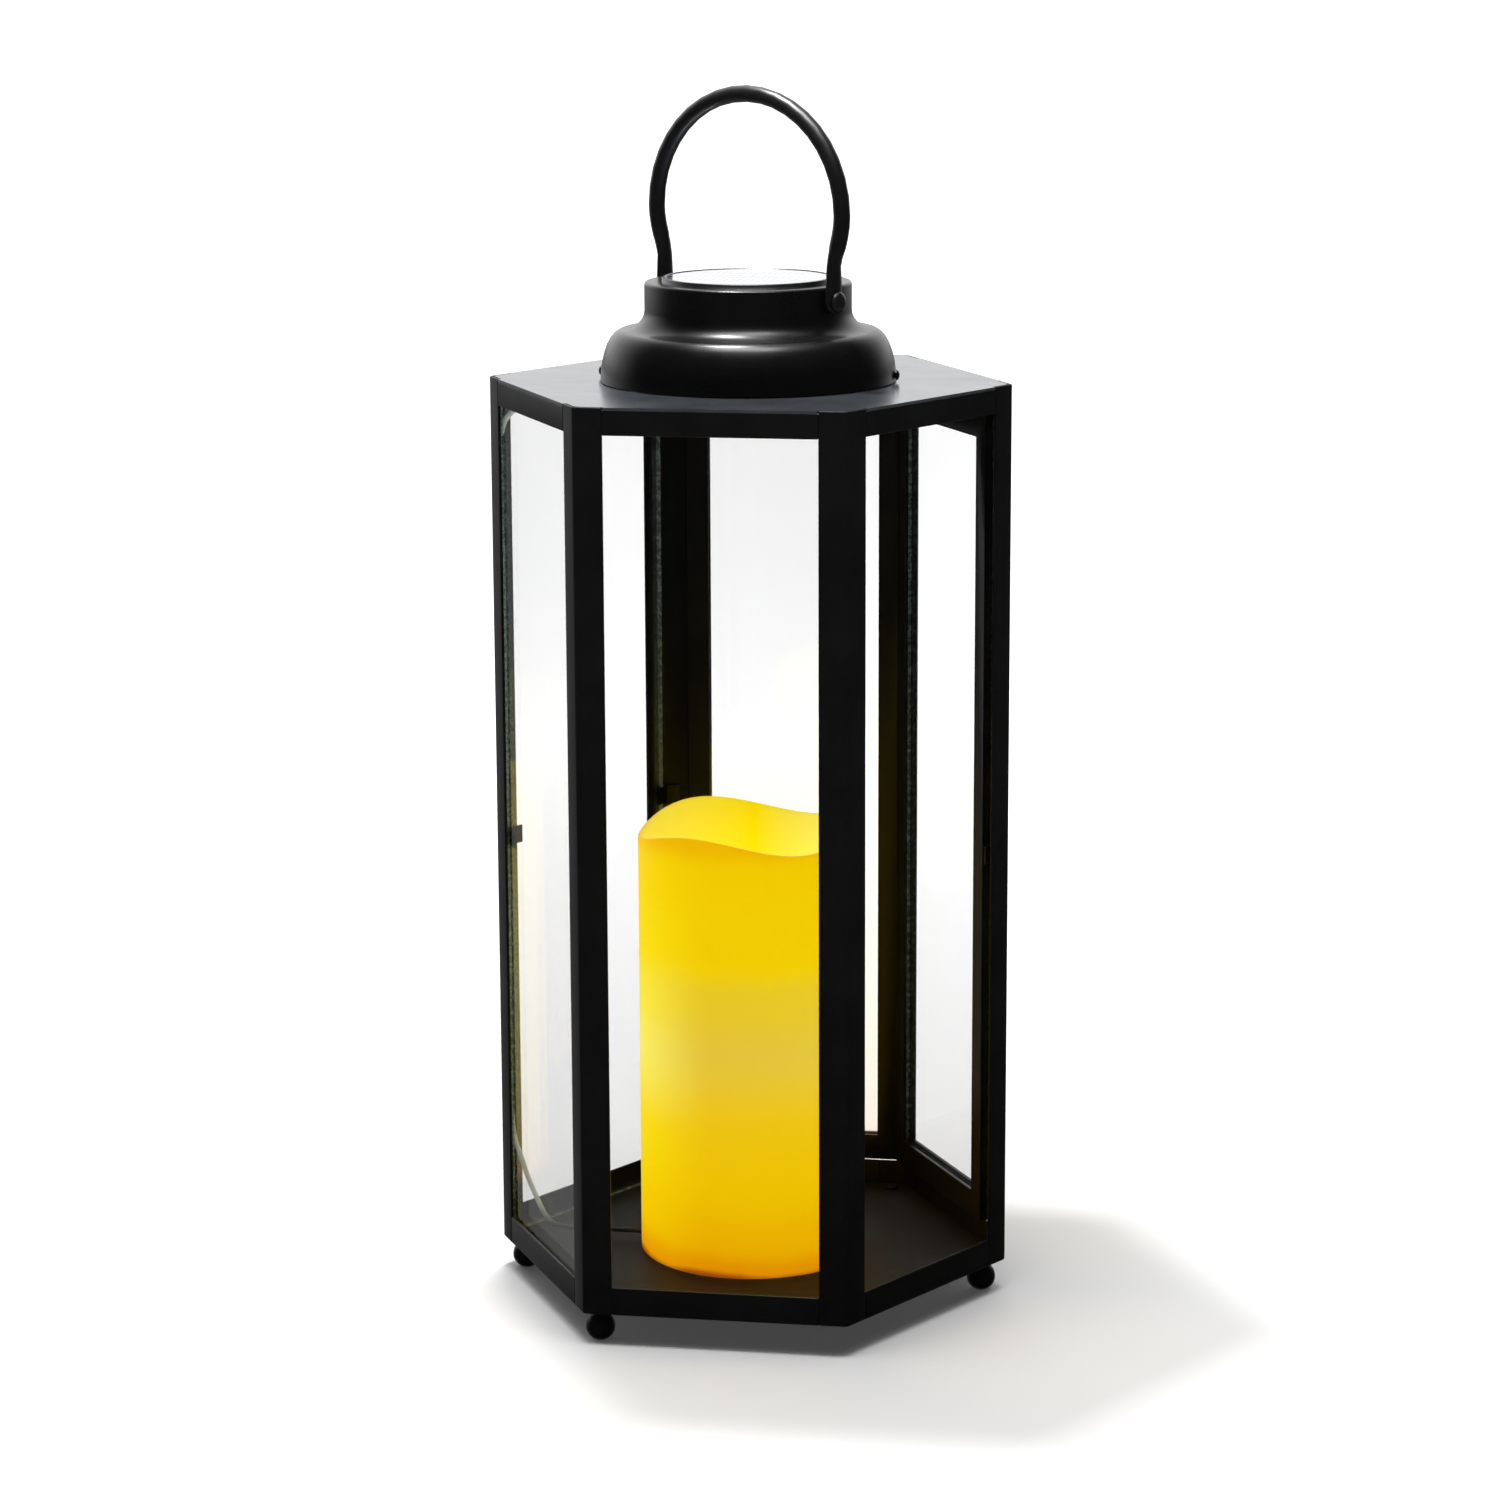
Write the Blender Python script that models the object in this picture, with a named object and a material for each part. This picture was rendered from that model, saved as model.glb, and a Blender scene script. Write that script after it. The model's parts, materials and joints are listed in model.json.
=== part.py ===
"""Solar lantern: a hexagonal glazed metal frame with an electric candle inside,
a door that takes up the back and back-right sides, and a domed cap that
carries a round solar panel and a folding bail handle.

Metres, +Z up. The origin is the middle of the footprint, on the surface that
the feet stand on. +X points at one corner of the hexagon and -Y is the middle
of one side, the front. Run with: blender --background --python part.py
"""

import math

import bmesh
import bpy
from mathutils import Matrix, Vector

# ---------------------------------------------------------------- dimensions

GAP = 0.0003                    # between pieces that touch

# Frame: six bent corner posts, with flat rails and panes between them
CORNER_RADIUS = 0.0885          # axis to the outside of a corner
FRAME_HEIGHT = 0.303            # post bottoms to the top of the top plate
SHEET = 0.001                   # steel of the posts, rails and dome
PLATE_SHEET = 0.001             # steel of the top and floor plates
POST_LEG = 0.0095               # width of each leg of a corner post
POST_BEND = 0.002               # outside radius of the post's bend
TOP_RAIL_HEIGHT = 0.009         # visible height, with the plate's edge
BOTTOM_RAIL_HEIGHT = 0.0095
EDGE_ROUND = 0.00025            # softened edges of cut sheet

# Glass
PANE_THICKNESS = 0.002
PANE_SETBACK = 0.004            # pane edge to the corner, along the side
CLIP_SHEET = 0.0006
CLIP_WING = 0.0045              # reach of a clip behind each pane
CLIP_HEIGHT = 0.006
CLIP_LEVEL = 0.144              # middle of the clips above the frame's bottom

# Door: two framed panes with a bent corner, hung between two posts
DOOR_DEPTH = 0.005
DOOR_RECESS = 0.0003            # frame's outer face to the door's
DOOR_STILE = 0.0076
DOOR_CORNER_STRIP = 0.0098
DOOR_RAIL = 0.009
DOOR_SIDE_GAP = 0.0008          # stile to post
DOOR_BOTTOM_GAP = 0.0018
DOOR_TOP_GAP = 0.0015
GROOVE_DEPTH = 0.003            # how far the panes enter the door's frame
HINGE_INSET = 0.0025            # stile's end to the pin's axis
HINGE_PIN_RADIUS = 0.0012
HINGE_PIN_REACH = 0.004         # pin inside the stile
HINGE_BLOCK = (0.006, 0.0038, 0.0025)
KNOB_RADIUS = 0.003
KNOB_LENGTH = 0.0048
KNOB_LEVEL = 0.150              # above the frame's bottom

# Feet
BALL_RADIUS = 0.005
FOOT_FLAT_RADIUS = 0.002        # flat worn on the bottom of the ball
FOOT_NECK_RADIUS = 0.0026
FOOT_NECK_LENGTH = 0.0017
FOOT_INSET = 0.0085             # corner to the foot's axis
STUD_RADIUS = 0.0014            # riveted over on top of the floor plate
STUD_HEAD_RADIUS = 0.0026
STUD_HEAD_HEIGHT = 0.0012

# Domed cap
NECK_RADIUS = 0.0345
NECK_HEIGHT = 0.033             # top plate to the rim
DOME_SHOULDER_WIDTH = 0.0075
DOME_SHOULDER_HEIGHT = 0.0168
DOME_FILLET_WIDTH = 0.0073
DOME_FILLET_HEIGHT = 0.0065
RIM_WIDTH = 0.0055              # flat inward lip at the top of the neck
RIM_ROUND = 0.0009
DOME_SCREW_LEVEL = 0.0024
DOME_SCREW_RADIUS = 0.0010
DOME_SCREW_HEAD_RADIUS = 0.0018
DOME_SCREW_HEAD_HEIGHT = 0.0012
LUG_WIDTH = 0.010
LUG_HEIGHT = 0.006

# Solar panel
PANEL_PROUD = 0.0015            # panel top above the rim
BEZEL_WALL = 0.0015
BEZEL_FLANGE = 0.0023
BEZEL_DEPTH = 0.008             # below the rim's top
CELL_THICKNESS = 0.0011
PANEL_BACK_THICKNESS = 0.0015

# Bail handle
BAIL_ROD_RADIUS = 0.0028
BAIL_BULGE = 0.0034             # how far the loop spreads beyond its pivots
BAIL_SIDE = 0.028               # pivot to the widest place
BAIL_ARCH = 0.0382              # widest place to the apex
BAIL_PIVOT_LEVEL = 0.0283       # above the top plate
BAIL_TURN = math.radians(-31)   # pivot axis, from +X
EYE_RADIUS = 0.0039
EYE_THICKNESS = 0.003
EYE_STANDOFF = 0.0007           # neck to the inside face of the eye
EYE_FLAT = 0.0115               # length of the flattened end above the pivot
RIVET_RADIUS = 0.0017
RIVET_HEAD_RADIUS = 0.0036
RIVET_HEAD_HEIGHT = 0.0019

# Candle
CANDLE_RADIUS = 0.0384
CANDLE_HEIGHT = 0.1492          # mean height of the wavy rim
CANDLE_WAVE = 0.0028            # rise and fall of the rim
CANDLE_LOBES = 3
CANDLE_WAVE_TURN = math.radians(9)
CANDLE_WALL = 0.005
CANDLE_LIP_WALL = 0.0024
CANDLE_BASIN = 0.018            # depth over which the wall thickens
BASE_HEIGHT = 0.024
SCREW_RADIUS = 0.00145          # battery cover's screw
SCREW_HEAD_RADIUS = 0.0026
BATTERY_RADIUS = 0.0071         # two-thirds AA rechargeable cell
BATTERY_LENGTH = 0.0285
BATTERY_ROOM = 0.001
COVER_RADIUS = 0.0195
COVER_THICKNESS = 0.002
COVER_SCREW_PLACE = 0.0138
BOARD_RADIUS = 0.014
BOARD_THICKNESS = 0.0016
LED_RADIUS = 0.0025
LED_HEIGHT = 0.0086
SWITCH_PLACE = -0.026
SWITCH_TRAVEL = 0.003
SWITCH_KNOB = (0.004, 0.0032, 0.0032)
SWITCH_RIB = 0.0005

# Lead from the panel to the candle
LEAD_RADIUS = 0.0009
LEAD_HOLE_INSET = 0.0093        # dome's edge to the lead's hole in the top plate
GROMMET_RADIUS = 0.0029
GROMMET_FLANGE = 0.0013
GROMMET_LIP = 0.0009

# ---------------------------------------------------------- derived sizes

FOOT_BELOW = math.sqrt(BALL_RADIUS ** 2 - FOOT_FLAT_RADIUS ** 2)
FOOT_ABOVE = math.sqrt(BALL_RADIUS ** 2 - FOOT_NECK_RADIUS ** 2)
FRAME_BOTTOM = FOOT_BELOW + FOOT_ABOVE + FOOT_NECK_LENGTH + GAP
FRAME_TOP = FRAME_BOTTOM + FRAME_HEIGHT
APOTHEM = CORNER_RADIUS * math.cos(math.radians(30))
FLOOR_TOP = FRAME_BOTTOM + PLATE_SHEET
CANDLE_BOTTOM = FLOOR_TOP + GAP
PANE_FRONT = SHEET + GAP                    # inward of the frame's outer face
PANE_BACK = PANE_FRONT + PANE_THICKNESS
DOME_RADIUS = NECK_RADIUS + DOME_FILLET_WIDTH + DOME_SHOULDER_WIDTH
CREST_RADIUS = NECK_RADIUS + DOME_FILLET_WIDTH
LEAD_HOLE_PLACE = DOME_RADIUS - LEAD_HOLE_INSET
RIM_LEVEL = FRAME_TOP + NECK_HEIGHT
PANEL_RADIUS = NECK_RADIUS - RIM_WIDTH - GAP
PIVOT_LEVEL = FRAME_TOP + BAIL_PIVOT_LEVEL
EYE_INSIDE = NECK_RADIUS + EYE_STANDOFF
PIVOT_REACH = EYE_INSIDE + EYE_THICKNESS / 2
BASE_RADIUS = CANDLE_RADIUS - CANDLE_WALL - 2 * GAP
BASE_TOP = CANDLE_BOTTOM + BASE_HEIGHT
DOOR_OUTSIDE = DOOR_RECESS
DOOR_INSIDE = DOOR_RECESS + DOOR_DEPTH
DOOR_BOTTOM = FRAME_BOTTOM + BOTTOM_RAIL_HEIGHT + DOOR_BOTTOM_GAP
DOOR_TOP = FRAME_TOP - TOP_RAIL_HEIGHT - DOOR_TOP_GAP
DOOR_REACH = CORNER_RADIUS - POST_LEG - DOOR_SIDE_GAP   # along each side from its corner
DOOR_MIDDLE = (DOOR_OUTSIDE + DOOR_INSIDE) / 2

CORNERS = ("right", "back_right", "back_left", "left", "front_left", "front_right")
SIDES = ("right_back", "back", "left_back", "left_front", "front", "right_front")
FOOT_CORNERS = ("right", "back_right", "left", "front_left")
DOOR_CORNER = "back_right"
DOOR_SIDES = ("right_back", "back")
TOWARD_RIGHT = 1                # the door's two wings, seen from its corner
TOWARD_LEFT = -1

# ------------------------------------------------------------------ helpers


def clear_scene():
    """Remove every object, so that the file holds only the lantern."""
    for old in list(bpy.data.objects):
        bpy.data.objects.remove(old, do_unlink=True)


def make_material(name, colour, roughness, metallic=0.0, transmission=0.0, glow=0.0):
    """A plain Principled material."""
    material = bpy.data.materials.new(name)
    material.use_nodes = True
    shader = material.node_tree.nodes["Principled BSDF"]
    shader.inputs["Base Color"].default_value = (*colour, 1.0)
    shader.inputs["Roughness"].default_value = roughness
    shader.inputs["Metallic"].default_value = metallic
    shader.inputs["Transmission Weight"].default_value = transmission
    if glow:
        shader.inputs["Emission Color"].default_value = (*colour, 1.0)
        shader.inputs["Emission Strength"].default_value = glow
    return material


def add_object(name, mesh, material, parent=None, place=(0, 0, 0), turn=0.0):
    """Put a mesh in the scene as one named piece, turned about +Z."""
    piece = bpy.data.objects.new(name, mesh)
    bpy.context.scene.collection.objects.link(piece)
    piece.location = place
    piece.rotation_euler = (0, 0, turn)
    piece.parent = parent
    if material is not None and not mesh.materials:
        mesh.materials.append(material)
    return piece


def add_empty(name, place, turn=0.0):
    """An empty that carries a group of pieces."""
    empty = bpy.data.objects.new(name, None)
    bpy.context.scene.collection.objects.link(empty)
    empty.location = place
    empty.rotation_euler = (0, 0, turn)
    return empty


def finish_mesh(name, work, smooth_angle=None):
    """Turn a bmesh into a mesh with its faces pointing out."""
    bmesh.ops.recalc_face_normals(work, faces=work.faces[:])
    mesh = bpy.data.meshes.new(name)
    work.to_mesh(mesh)
    work.free()
    if smooth_angle is not None:
        mesh.shade_smooth()
        mesh.set_sharp_from_angle(angle=math.radians(smooth_angle))
    return mesh


def prism(name, outline, low, high):
    """A flat outline in X and Y, extruded from one height to another."""
    work = bmesh.new()
    corners = [work.verts.new((x, y, low)) for x, y in outline]
    base = work.faces.new(corners)
    raised = bmesh.ops.extrude_face_region(work, geom=[base])["geom"]
    lifted = [item for item in raised if isinstance(item, bmesh.types.BMVert)]
    bmesh.ops.translate(work, verts=lifted, vec=(0, 0, high - low))
    return finish_mesh(name, work)


def block(name, low, high):
    """A box between two opposite corners."""
    outline = [(low[0], low[1]), (high[0], low[1]), (high[0], high[1]), (low[0], high[1])]
    return prism(name, outline, low[2], high[2])


def ring_solid(name, profile, segments, closed):
    """Join rings of points into one closed body.

    profile is a list of functions of the turning angle, each giving a radius
    and a height; a point at radius 0 becomes one vertex on the axis.
    """
    work = bmesh.new()
    rings = []
    for point in profile:
        if point(0.0)[0] == 0.0:
            rings.append([work.verts.new((0, 0, point(0.0)[1]))])
            continue
        ring = []
        for step in range(segments):
            angle = 2 * math.pi * step / segments
            radius, height = point(angle)
            ring.append(work.verts.new((radius * math.cos(angle), radius * math.sin(angle), height)))
        rings.append(ring)
    pairs = list(zip(rings, rings[1:]))
    if closed:
        pairs.append((rings[-1], rings[0]))
    for lower, upper in pairs:
        for step in range(segments):
            after = (step + 1) % segments
            face = [lower[step % len(lower)], lower[after % len(lower)],
                    upper[after % len(upper)], upper[step % len(upper)]]
            corners = list(dict.fromkeys(face))
            if len(corners) > 2:
                work.faces.new(corners)
    return finish_mesh(name, work, 35)


def turned(name, outline, segments=24):
    """A turned body. An outline that starts and ends on the axis is solid."""
    closed = outline[0][0] != 0.0
    profile = [lambda angle, point=point: point for point in outline]
    return ring_solid(name, profile, segments, closed)


def arc(centre, radii, start, end, steps):
    """Points along a quarter of an ellipse or any other stretch of it."""
    points = []
    for step in range(steps + 1):
        angle = math.radians(start + (end - start) * step / steps)
        points.append((centre[0] + radii[0] * math.cos(angle), centre[1] + radii[1] * math.sin(angle)))
    return points


def cutter_cylinder(name, radius, length, place, axis):
    """A hidden cylinder that cuts a round hole, centred on its place."""
    half = length / 2
    mesh = turned(name, [(0.0, -half), (radius, -half), (radius, half), (0.0, half)])
    cutter = add_object(name, mesh, None, place=place)
    cutter.rotation_mode = "QUATERNION"
    cutter.rotation_quaternion = Vector((0, 0, 1)).rotation_difference(Vector(axis))
    return hide_cutter(cutter)


def hide_cutter(cutter):
    """Mark a piece as a tool that isn't part of the lantern."""
    cutter.hide_render = True
    cutter.display_type = "WIRE"
    return cutter


def combine(target, tool, operation="DIFFERENCE"):
    """Cut a tool out of a piece, or join it on."""
    boolean = target.modifiers.new(tool.name, "BOOLEAN")
    boolean.operation = operation
    boolean.solver = "EXACT"
    boolean.object = tool


def soften_edges(piece, width=EDGE_ROUND):
    """Round the cut edges of a piece of sheet."""
    bevel = piece.modifiers.new("soft_edges", "BEVEL")
    bevel.width = width
    bevel.segments = 1
    bevel.limit_method = "ANGLE"
    bevel.angle_limit = math.radians(50)


def corner_angle(index):
    """Direction of a corner from the axis."""
    return math.radians(60 * index)


def side_angle(index):
    """Direction of a side's outward normal."""
    return math.radians(60 * index + 30)


def from_corner(along, inward, hand):
    """A place near a corner, in the corner's own axes.

    along runs down a side from the corner and inward is the depth behind that
    side's outer face; hand picks the side. The result's X runs from the corner
    to the lantern's axis.
    """
    across = along * math.cos(math.radians(30)) - inward * 0.5
    return (along * 0.5 + inward * math.cos(math.radians(30)), hand * across)


def corner_place(index):
    """The outside of a corner, at ground level."""
    angle = corner_angle(index)
    return Vector((CORNER_RADIUS * math.cos(angle), CORNER_RADIUS * math.sin(angle), 0))


def on_bisector(depth):
    """The place on a corner's bisector at a depth behind both outer faces."""
    return (depth / math.cos(math.radians(30)), 0.0)


def to_world(index, point):
    """Turn a place in a corner's own axes into a place in the lantern's."""
    turn = Matrix.Rotation(corner_angle(index) + math.pi, 2)
    return tuple(corner_place(index).xy + turn @ Vector(point))


def mirrored(half):
    """A whole outline from the half on one side of the corner's bisector."""
    return half + [(x, -y) for x, y in reversed(half)]


# -------------------------------------------------------------------- frame


def post_mesh(low, high):
    """A corner post: a strip bent to 120 degrees, between two heights."""
    bend_centre = POST_BEND / math.cos(math.radians(30))
    outer = [(bend_centre + POST_BEND * math.cos(math.radians(angle)),
              POST_BEND * math.sin(math.radians(angle))) for angle in (180, 165, 150)]
    inner_bend = POST_BEND - SHEET
    inner = [(bend_centre + inner_bend * math.cos(math.radians(angle)),
              inner_bend * math.sin(math.radians(angle))) for angle in (150, 180)]
    half = outer + [from_corner(POST_LEG, 0, 1), from_corner(POST_LEG, SHEET, 1), inner[0]]
    outline = mirrored(half)
    outline[-1:] = []
    outline.insert(len(half), inner[1])
    return prism("corner_post", outline, low, high)


def add_posts(material, body):
    """Five corner posts, and two short angles above and below the door."""
    full = post_mesh(FRAME_BOTTOM, FRAME_TOP)
    foot = post_mesh(FRAME_BOTTOM, FRAME_BOTTOM + BOTTOM_RAIL_HEIGHT)
    head = post_mesh(FRAME_TOP - TOP_RAIL_HEIGHT, FRAME_TOP)
    for index, name in enumerate(CORNERS):
        shapes = {"corner_post_" + name: full}
        if name == DOOR_CORNER:
            shapes = {"corner_angle_lower": foot, "corner_angle_upper": head}
        for piece_name, mesh in shapes.items():
            turn = corner_angle(index) + math.pi
            soften_edges(add_object(piece_name, mesh, material, body, corner_place(index), turn))


def add_rails(material, body):
    """The flat rails that close the frame between the posts, top and bottom."""
    half = CORNER_RADIUS / 2 - POST_LEG - GAP
    rail_top = FRAME_TOP - PLATE_SHEET - GAP
    levels = {"top_rail_": (FRAME_TOP - TOP_RAIL_HEIGHT, rail_top),
              "bottom_rail_": (FRAME_BOTTOM, FRAME_BOTTOM + BOTTOM_RAIL_HEIGHT)}
    for prefix, (low, high) in levels.items():
        mesh = block(prefix + "strip", (-half, -SHEET, low), (half, 0, high))
        for index, name in enumerate(SIDES):
            angle = side_angle(index)
            place = (APOTHEM * math.cos(angle), APOTHEM * math.sin(angle), 0)
            rail = add_object(prefix + name, mesh, material, body, place, angle - math.pi / 2)
            soften_edges(rail)


def plate_outline(corner_half):
    """Repeat the half-outline of a plate's corner round the hexagon."""
    outline = []
    for index in range(len(CORNERS)):
        outline += [to_world(index, point) for point in mirrored(corner_half)]
    return outline


def add_top_plate(material, body):
    """The top plate: notched round the posts, with two lugs for the dome."""
    inside = SHEET + GAP
    ease = 1.5 * inside
    edge = POST_LEG + GAP
    half = [from_corner(edge, 0, 1), from_corner(edge, inside, 1), from_corner(ease, inside, 1)]
    mesh = prism("top_plate", plate_outline(half), FRAME_TOP - PLATE_SHEET, FRAME_TOP)
    plate = add_object("top_plate", mesh, material, body)
    lug_outside = CREST_RADIUS + inner_shoulder_width(LUG_HEIGHT)
    lug_outside = math.sqrt((lug_outside - GAP) ** 2 - (LUG_WIDTH / 2) ** 2) - GAP
    for side in (-1, 1):
        low = (min(side * lug_outside, side * (lug_outside - SHEET)), -LUG_WIDTH / 2, FRAME_TOP - PLATE_SHEET / 2)
        high = (max(side * lug_outside, side * (lug_outside - SHEET)), LUG_WIDTH / 2, FRAME_TOP + LUG_HEIGHT)
        lug = add_object("lug_shape_" + str(side), block("lug_shape", low, high), None)
        combine(plate, hide_cutter(lug), "UNION")
    combine(plate, screw_hole(lug_outside))
    hole = cutter_cylinder("lead_hole", GROMMET_RADIUS + GAP, 4 * PLATE_SHEET,
                           (-LEAD_HOLE_PLACE, 0, FRAME_TOP), (0, 0, 1))
    combine(plate, hole)


def screw_hole(reach):
    """A cutter for the dome screws' holes, right through from side to side."""
    length = 2 * (reach + 4 * SHEET)
    return cutter_cylinder("screw_hole_" + str(round(reach * 1e5)), DOME_SCREW_RADIUS + GAP, length,
                           (0, 0, FRAME_TOP + DOME_SCREW_LEVEL), (1, 0, 0))


def add_floor_plate(material, body):
    """The floor plate: it fits inside the rails and the posts."""
    inside = SHEET + GAP
    half = [from_corner(1.5 * inside, inside, 1)]
    mesh = prism("floor_plate", plate_outline(half), FRAME_BOTTOM, FLOOR_TOP)
    plate = add_object("floor_plate", mesh, material, body)
    for name in FOOT_CORNERS:
        x, y = to_world(CORNERS.index(name), (FOOT_INSET, 0))
        hole = cutter_cylinder("foot_hole_" + name, STUD_RADIUS + GAP, 4 * PLATE_SHEET,
                               (x, y, FRAME_BOTTOM), (0, 0, 1))
        combine(plate, hole)
    hatch = cutter_cylinder("hatch_hole", COVER_RADIUS + 3 * GAP, 4 * PLATE_SHEET,
                            (0, 0, FRAME_BOTTOM), (0, 0, 1))
    combine(plate, hatch)
    reach = SWITCH_KNOB[0] / 2 + SWITCH_TRAVEL + 4 * GAP
    low = (-reach, SWITCH_PLACE - SWITCH_KNOB[1], FRAME_BOTTOM - PLATE_SHEET)
    high = (reach, SWITCH_PLACE + SWITCH_KNOB[1], FLOOR_TOP + PLATE_SHEET)
    slot = add_object("switch_slot", block("switch_slot", low, high), None)
    combine(plate, hide_cutter(slot))


# -------------------------------------------------------------------- glass


def add_panes(material, body):
    """Four fixed panes, behind the posts' legs and the rails."""
    half = CORNER_RADIUS / 2 - PANE_SETBACK
    low = (-half, -PANE_BACK, FLOOR_TOP + GAP)
    high = (half, -PANE_FRONT, FRAME_TOP - PLATE_SHEET - GAP)
    mesh = block("pane", low, high)
    for index, name in enumerate(SIDES):
        if name in DOOR_SIDES:
            continue
        angle = side_angle(index)
        place = (APOTHEM * math.cos(angle), APOTHEM * math.sin(angle), 0)
        add_object("glass_pane_" + name, mesh, material, body, place, angle - math.pi / 2)


def clip_line(offset, hand, winged):
    """One end of a clip's bent line, offset to one face of its sheet.

    A winged end reaches behind a pane; the other kind stops on the post's leg.
    """
    wing = PANE_BACK + GAP + CLIP_SHEET / 2 + offset
    wall = PANE_SETBACK - GAP - CLIP_SHEET / 2 - offset
    crown = SHEET + GAP + CLIP_SHEET / 2 + offset
    if not winged:
        return [from_corner(PANE_SETBACK + CLIP_WING / 2, crown, hand)]
    return [from_corner(PANE_SETBACK + CLIP_WING, wing, hand), from_corner(wall, wing, hand),
            from_corner(wall, crown, hand)]


def clip_outline(winged_hands):
    """The whole outline of a clip, with a wing on each hand that is named."""
    outline = []
    for side, order in ((-CLIP_SHEET / 2, (1, -1)), (CLIP_SHEET / 2, (-1, 1))):
        first = clip_line(side, order[0], order[0] in winged_hands)
        last = clip_line(side, order[1], order[1] in winged_hands)
        crown = on_bisector(SHEET + GAP + CLIP_SHEET / 2 + side)
        outline += first + [crown] + list(reversed(last))
    return outline


def add_clips(material, body):
    """Spring clips in the corners that press the fixed panes to the posts."""
    low = FRAME_BOTTOM + CLIP_LEVEL - CLIP_HEIGHT / 2
    for index, name in enumerate(CORNERS):
        if name == DOOR_CORNER:
            continue
        # +1 is the side before a corner, going counterclockwise, and -1 the side after it
        hands = [hand for hand, side in ((1, SIDES[index - 1]), (-1, SIDES[index])) if side not in DOOR_SIDES]
        mesh = prism("glass_clip", clip_outline(hands), low, low + CLIP_HEIGHT)
        add_object("glass_clip_" + name, mesh, material, body, corner_place(index), corner_angle(index) + math.pi)


# --------------------------------------------------------------------- door


def add_door_piece(name, mesh, material, pivot):
    """A piece of the door: its mesh is in its corner's axes, and its parent is the pivot."""
    index = CORNERS.index(DOOR_CORNER)
    place = corner_place(index) - pivot.location
    return add_object(name, mesh, material, pivot, place, corner_angle(index) + math.pi)


def door_slab(name, hand, along, depth, height):
    """A flat box parallel to one wing of the door, in its corner's axes."""
    outline = [from_corner(along[0], depth[0], hand), from_corner(along[1], depth[0], hand),
               from_corner(along[1], depth[1], hand), from_corner(along[0], depth[1], hand)]
    return prism(name, outline, height[0], height[1])


def grown(limits, amount):
    """A pair of limits moved apart by an amount at each end."""
    return (limits[0] - amount, limits[1] + amount)


def add_door(material, glass, body):
    """The two-sided door: a grooved frame, two panes, a knob and two hinges."""
    index = CORNERS.index(DOOR_CORNER)
    hinge_along = DOOR_REACH - HINGE_INSET
    x, y = to_world(index, from_corner(hinge_along, DOOR_MIDDLE, TOWARD_LEFT))
    pivot = add_empty("door_pivot", (x, y, 0))
    wings = {"back": TOWARD_LEFT, "right_back": TOWARD_RIGHT}
    outline = [on_bisector(DOOR_OUTSIDE)]
    outline += [from_corner(DOOR_REACH, depth, 1) for depth in (DOOR_OUTSIDE, DOOR_INSIDE)]
    outline += [on_bisector(DOOR_INSIDE)]
    outline += [from_corner(DOOR_REACH, depth, -1) for depth in (DOOR_INSIDE, DOOR_OUTSIDE)]
    mesh = prism("door_frame", outline, DOOR_BOTTOM, DOOR_TOP)
    frame = add_door_piece("door_frame", mesh, material, pivot)
    window = (DOOR_CORNER_STRIP, DOOR_REACH - DOOR_STILE)
    rise = (DOOR_BOTTOM + DOOR_RAIL, DOOR_TOP - DOOR_RAIL)
    groove = (DOOR_MIDDLE - PANE_THICKNESS / 2 - GAP, DOOR_MIDDLE + PANE_THICKNESS / 2 + GAP)
    entry = GROOVE_DEPTH - GAP
    for name, hand in wings.items():
        hole = door_slab("window_" + name, hand, window, grown((DOOR_OUTSIDE, DOOR_INSIDE), SHEET), rise)
        combine(frame, hide_cutter(add_door_piece("window_" + name, hole, None, pivot)))
        slot = door_slab("groove_" + name, hand, grown(window, GROOVE_DEPTH), groove, grown(rise, GROOVE_DEPTH))
        combine(frame, hide_cutter(add_door_piece("groove_" + name, slot, None, pivot)))
        pane = door_slab("pane_" + name, hand, grown(window, entry), grown(groove, -GAP), grown(rise, entry))
        add_door_piece("glass_pane_" + name, pane, glass, pivot)
    add_hinges(frame, material, body, x, y)
    add_knob(frame, material, pivot)


def add_hinges(frame, material, body, x, y):
    """A block with a pin at the bottom and the top of the door's left stile."""
    length, depth, height = HINGE_BLOCK
    index = CORNERS.index(DOOR_CORNER)
    low_block = FRAME_BOTTOM + BOTTOM_RAIL_HEIGHT - height
    high_block = FRAME_TOP - TOP_RAIL_HEIGHT
    block_depth = (SHEET + GAP, SHEET + GAP + depth)
    along = grown((DOOR_REACH - HINGE_INSET, DOOR_REACH - HINGE_INSET), length / 2)
    levels = {"lower": (low_block, DOOR_BOTTOM + HINGE_PIN_REACH),
              "upper": (DOOR_TOP - HINGE_PIN_REACH, high_block + height)}
    for name, (low, high) in levels.items():
        base = low if name == "lower" else high_block
        mesh = door_slab("hinge_block", TOWARD_LEFT, along, block_depth, (base, base + height))
        hinge = add_object("door_hinge_" + name, mesh, material, body, corner_place(index),
                           corner_angle(index) + math.pi)
        inset = height / 4
        start, end = (low + inset, high) if name == "lower" else (low, high - inset)
        pin = cutter_cylinder("pin_" + name, HINGE_PIN_RADIUS, end - start, (x, y, (start + end) / 2), (0, 0, 1))
        combine(hinge, pin, "UNION")
        level = DOOR_BOTTOM if name == "lower" else DOOR_TOP
        bore = cutter_cylinder("pin_bore_" + name, HINGE_PIN_RADIUS + GAP, 2 * (HINGE_PIN_REACH + GAP),
                               (x, y, level), (0, 0, 1))
        combine(frame, bore)


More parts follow.
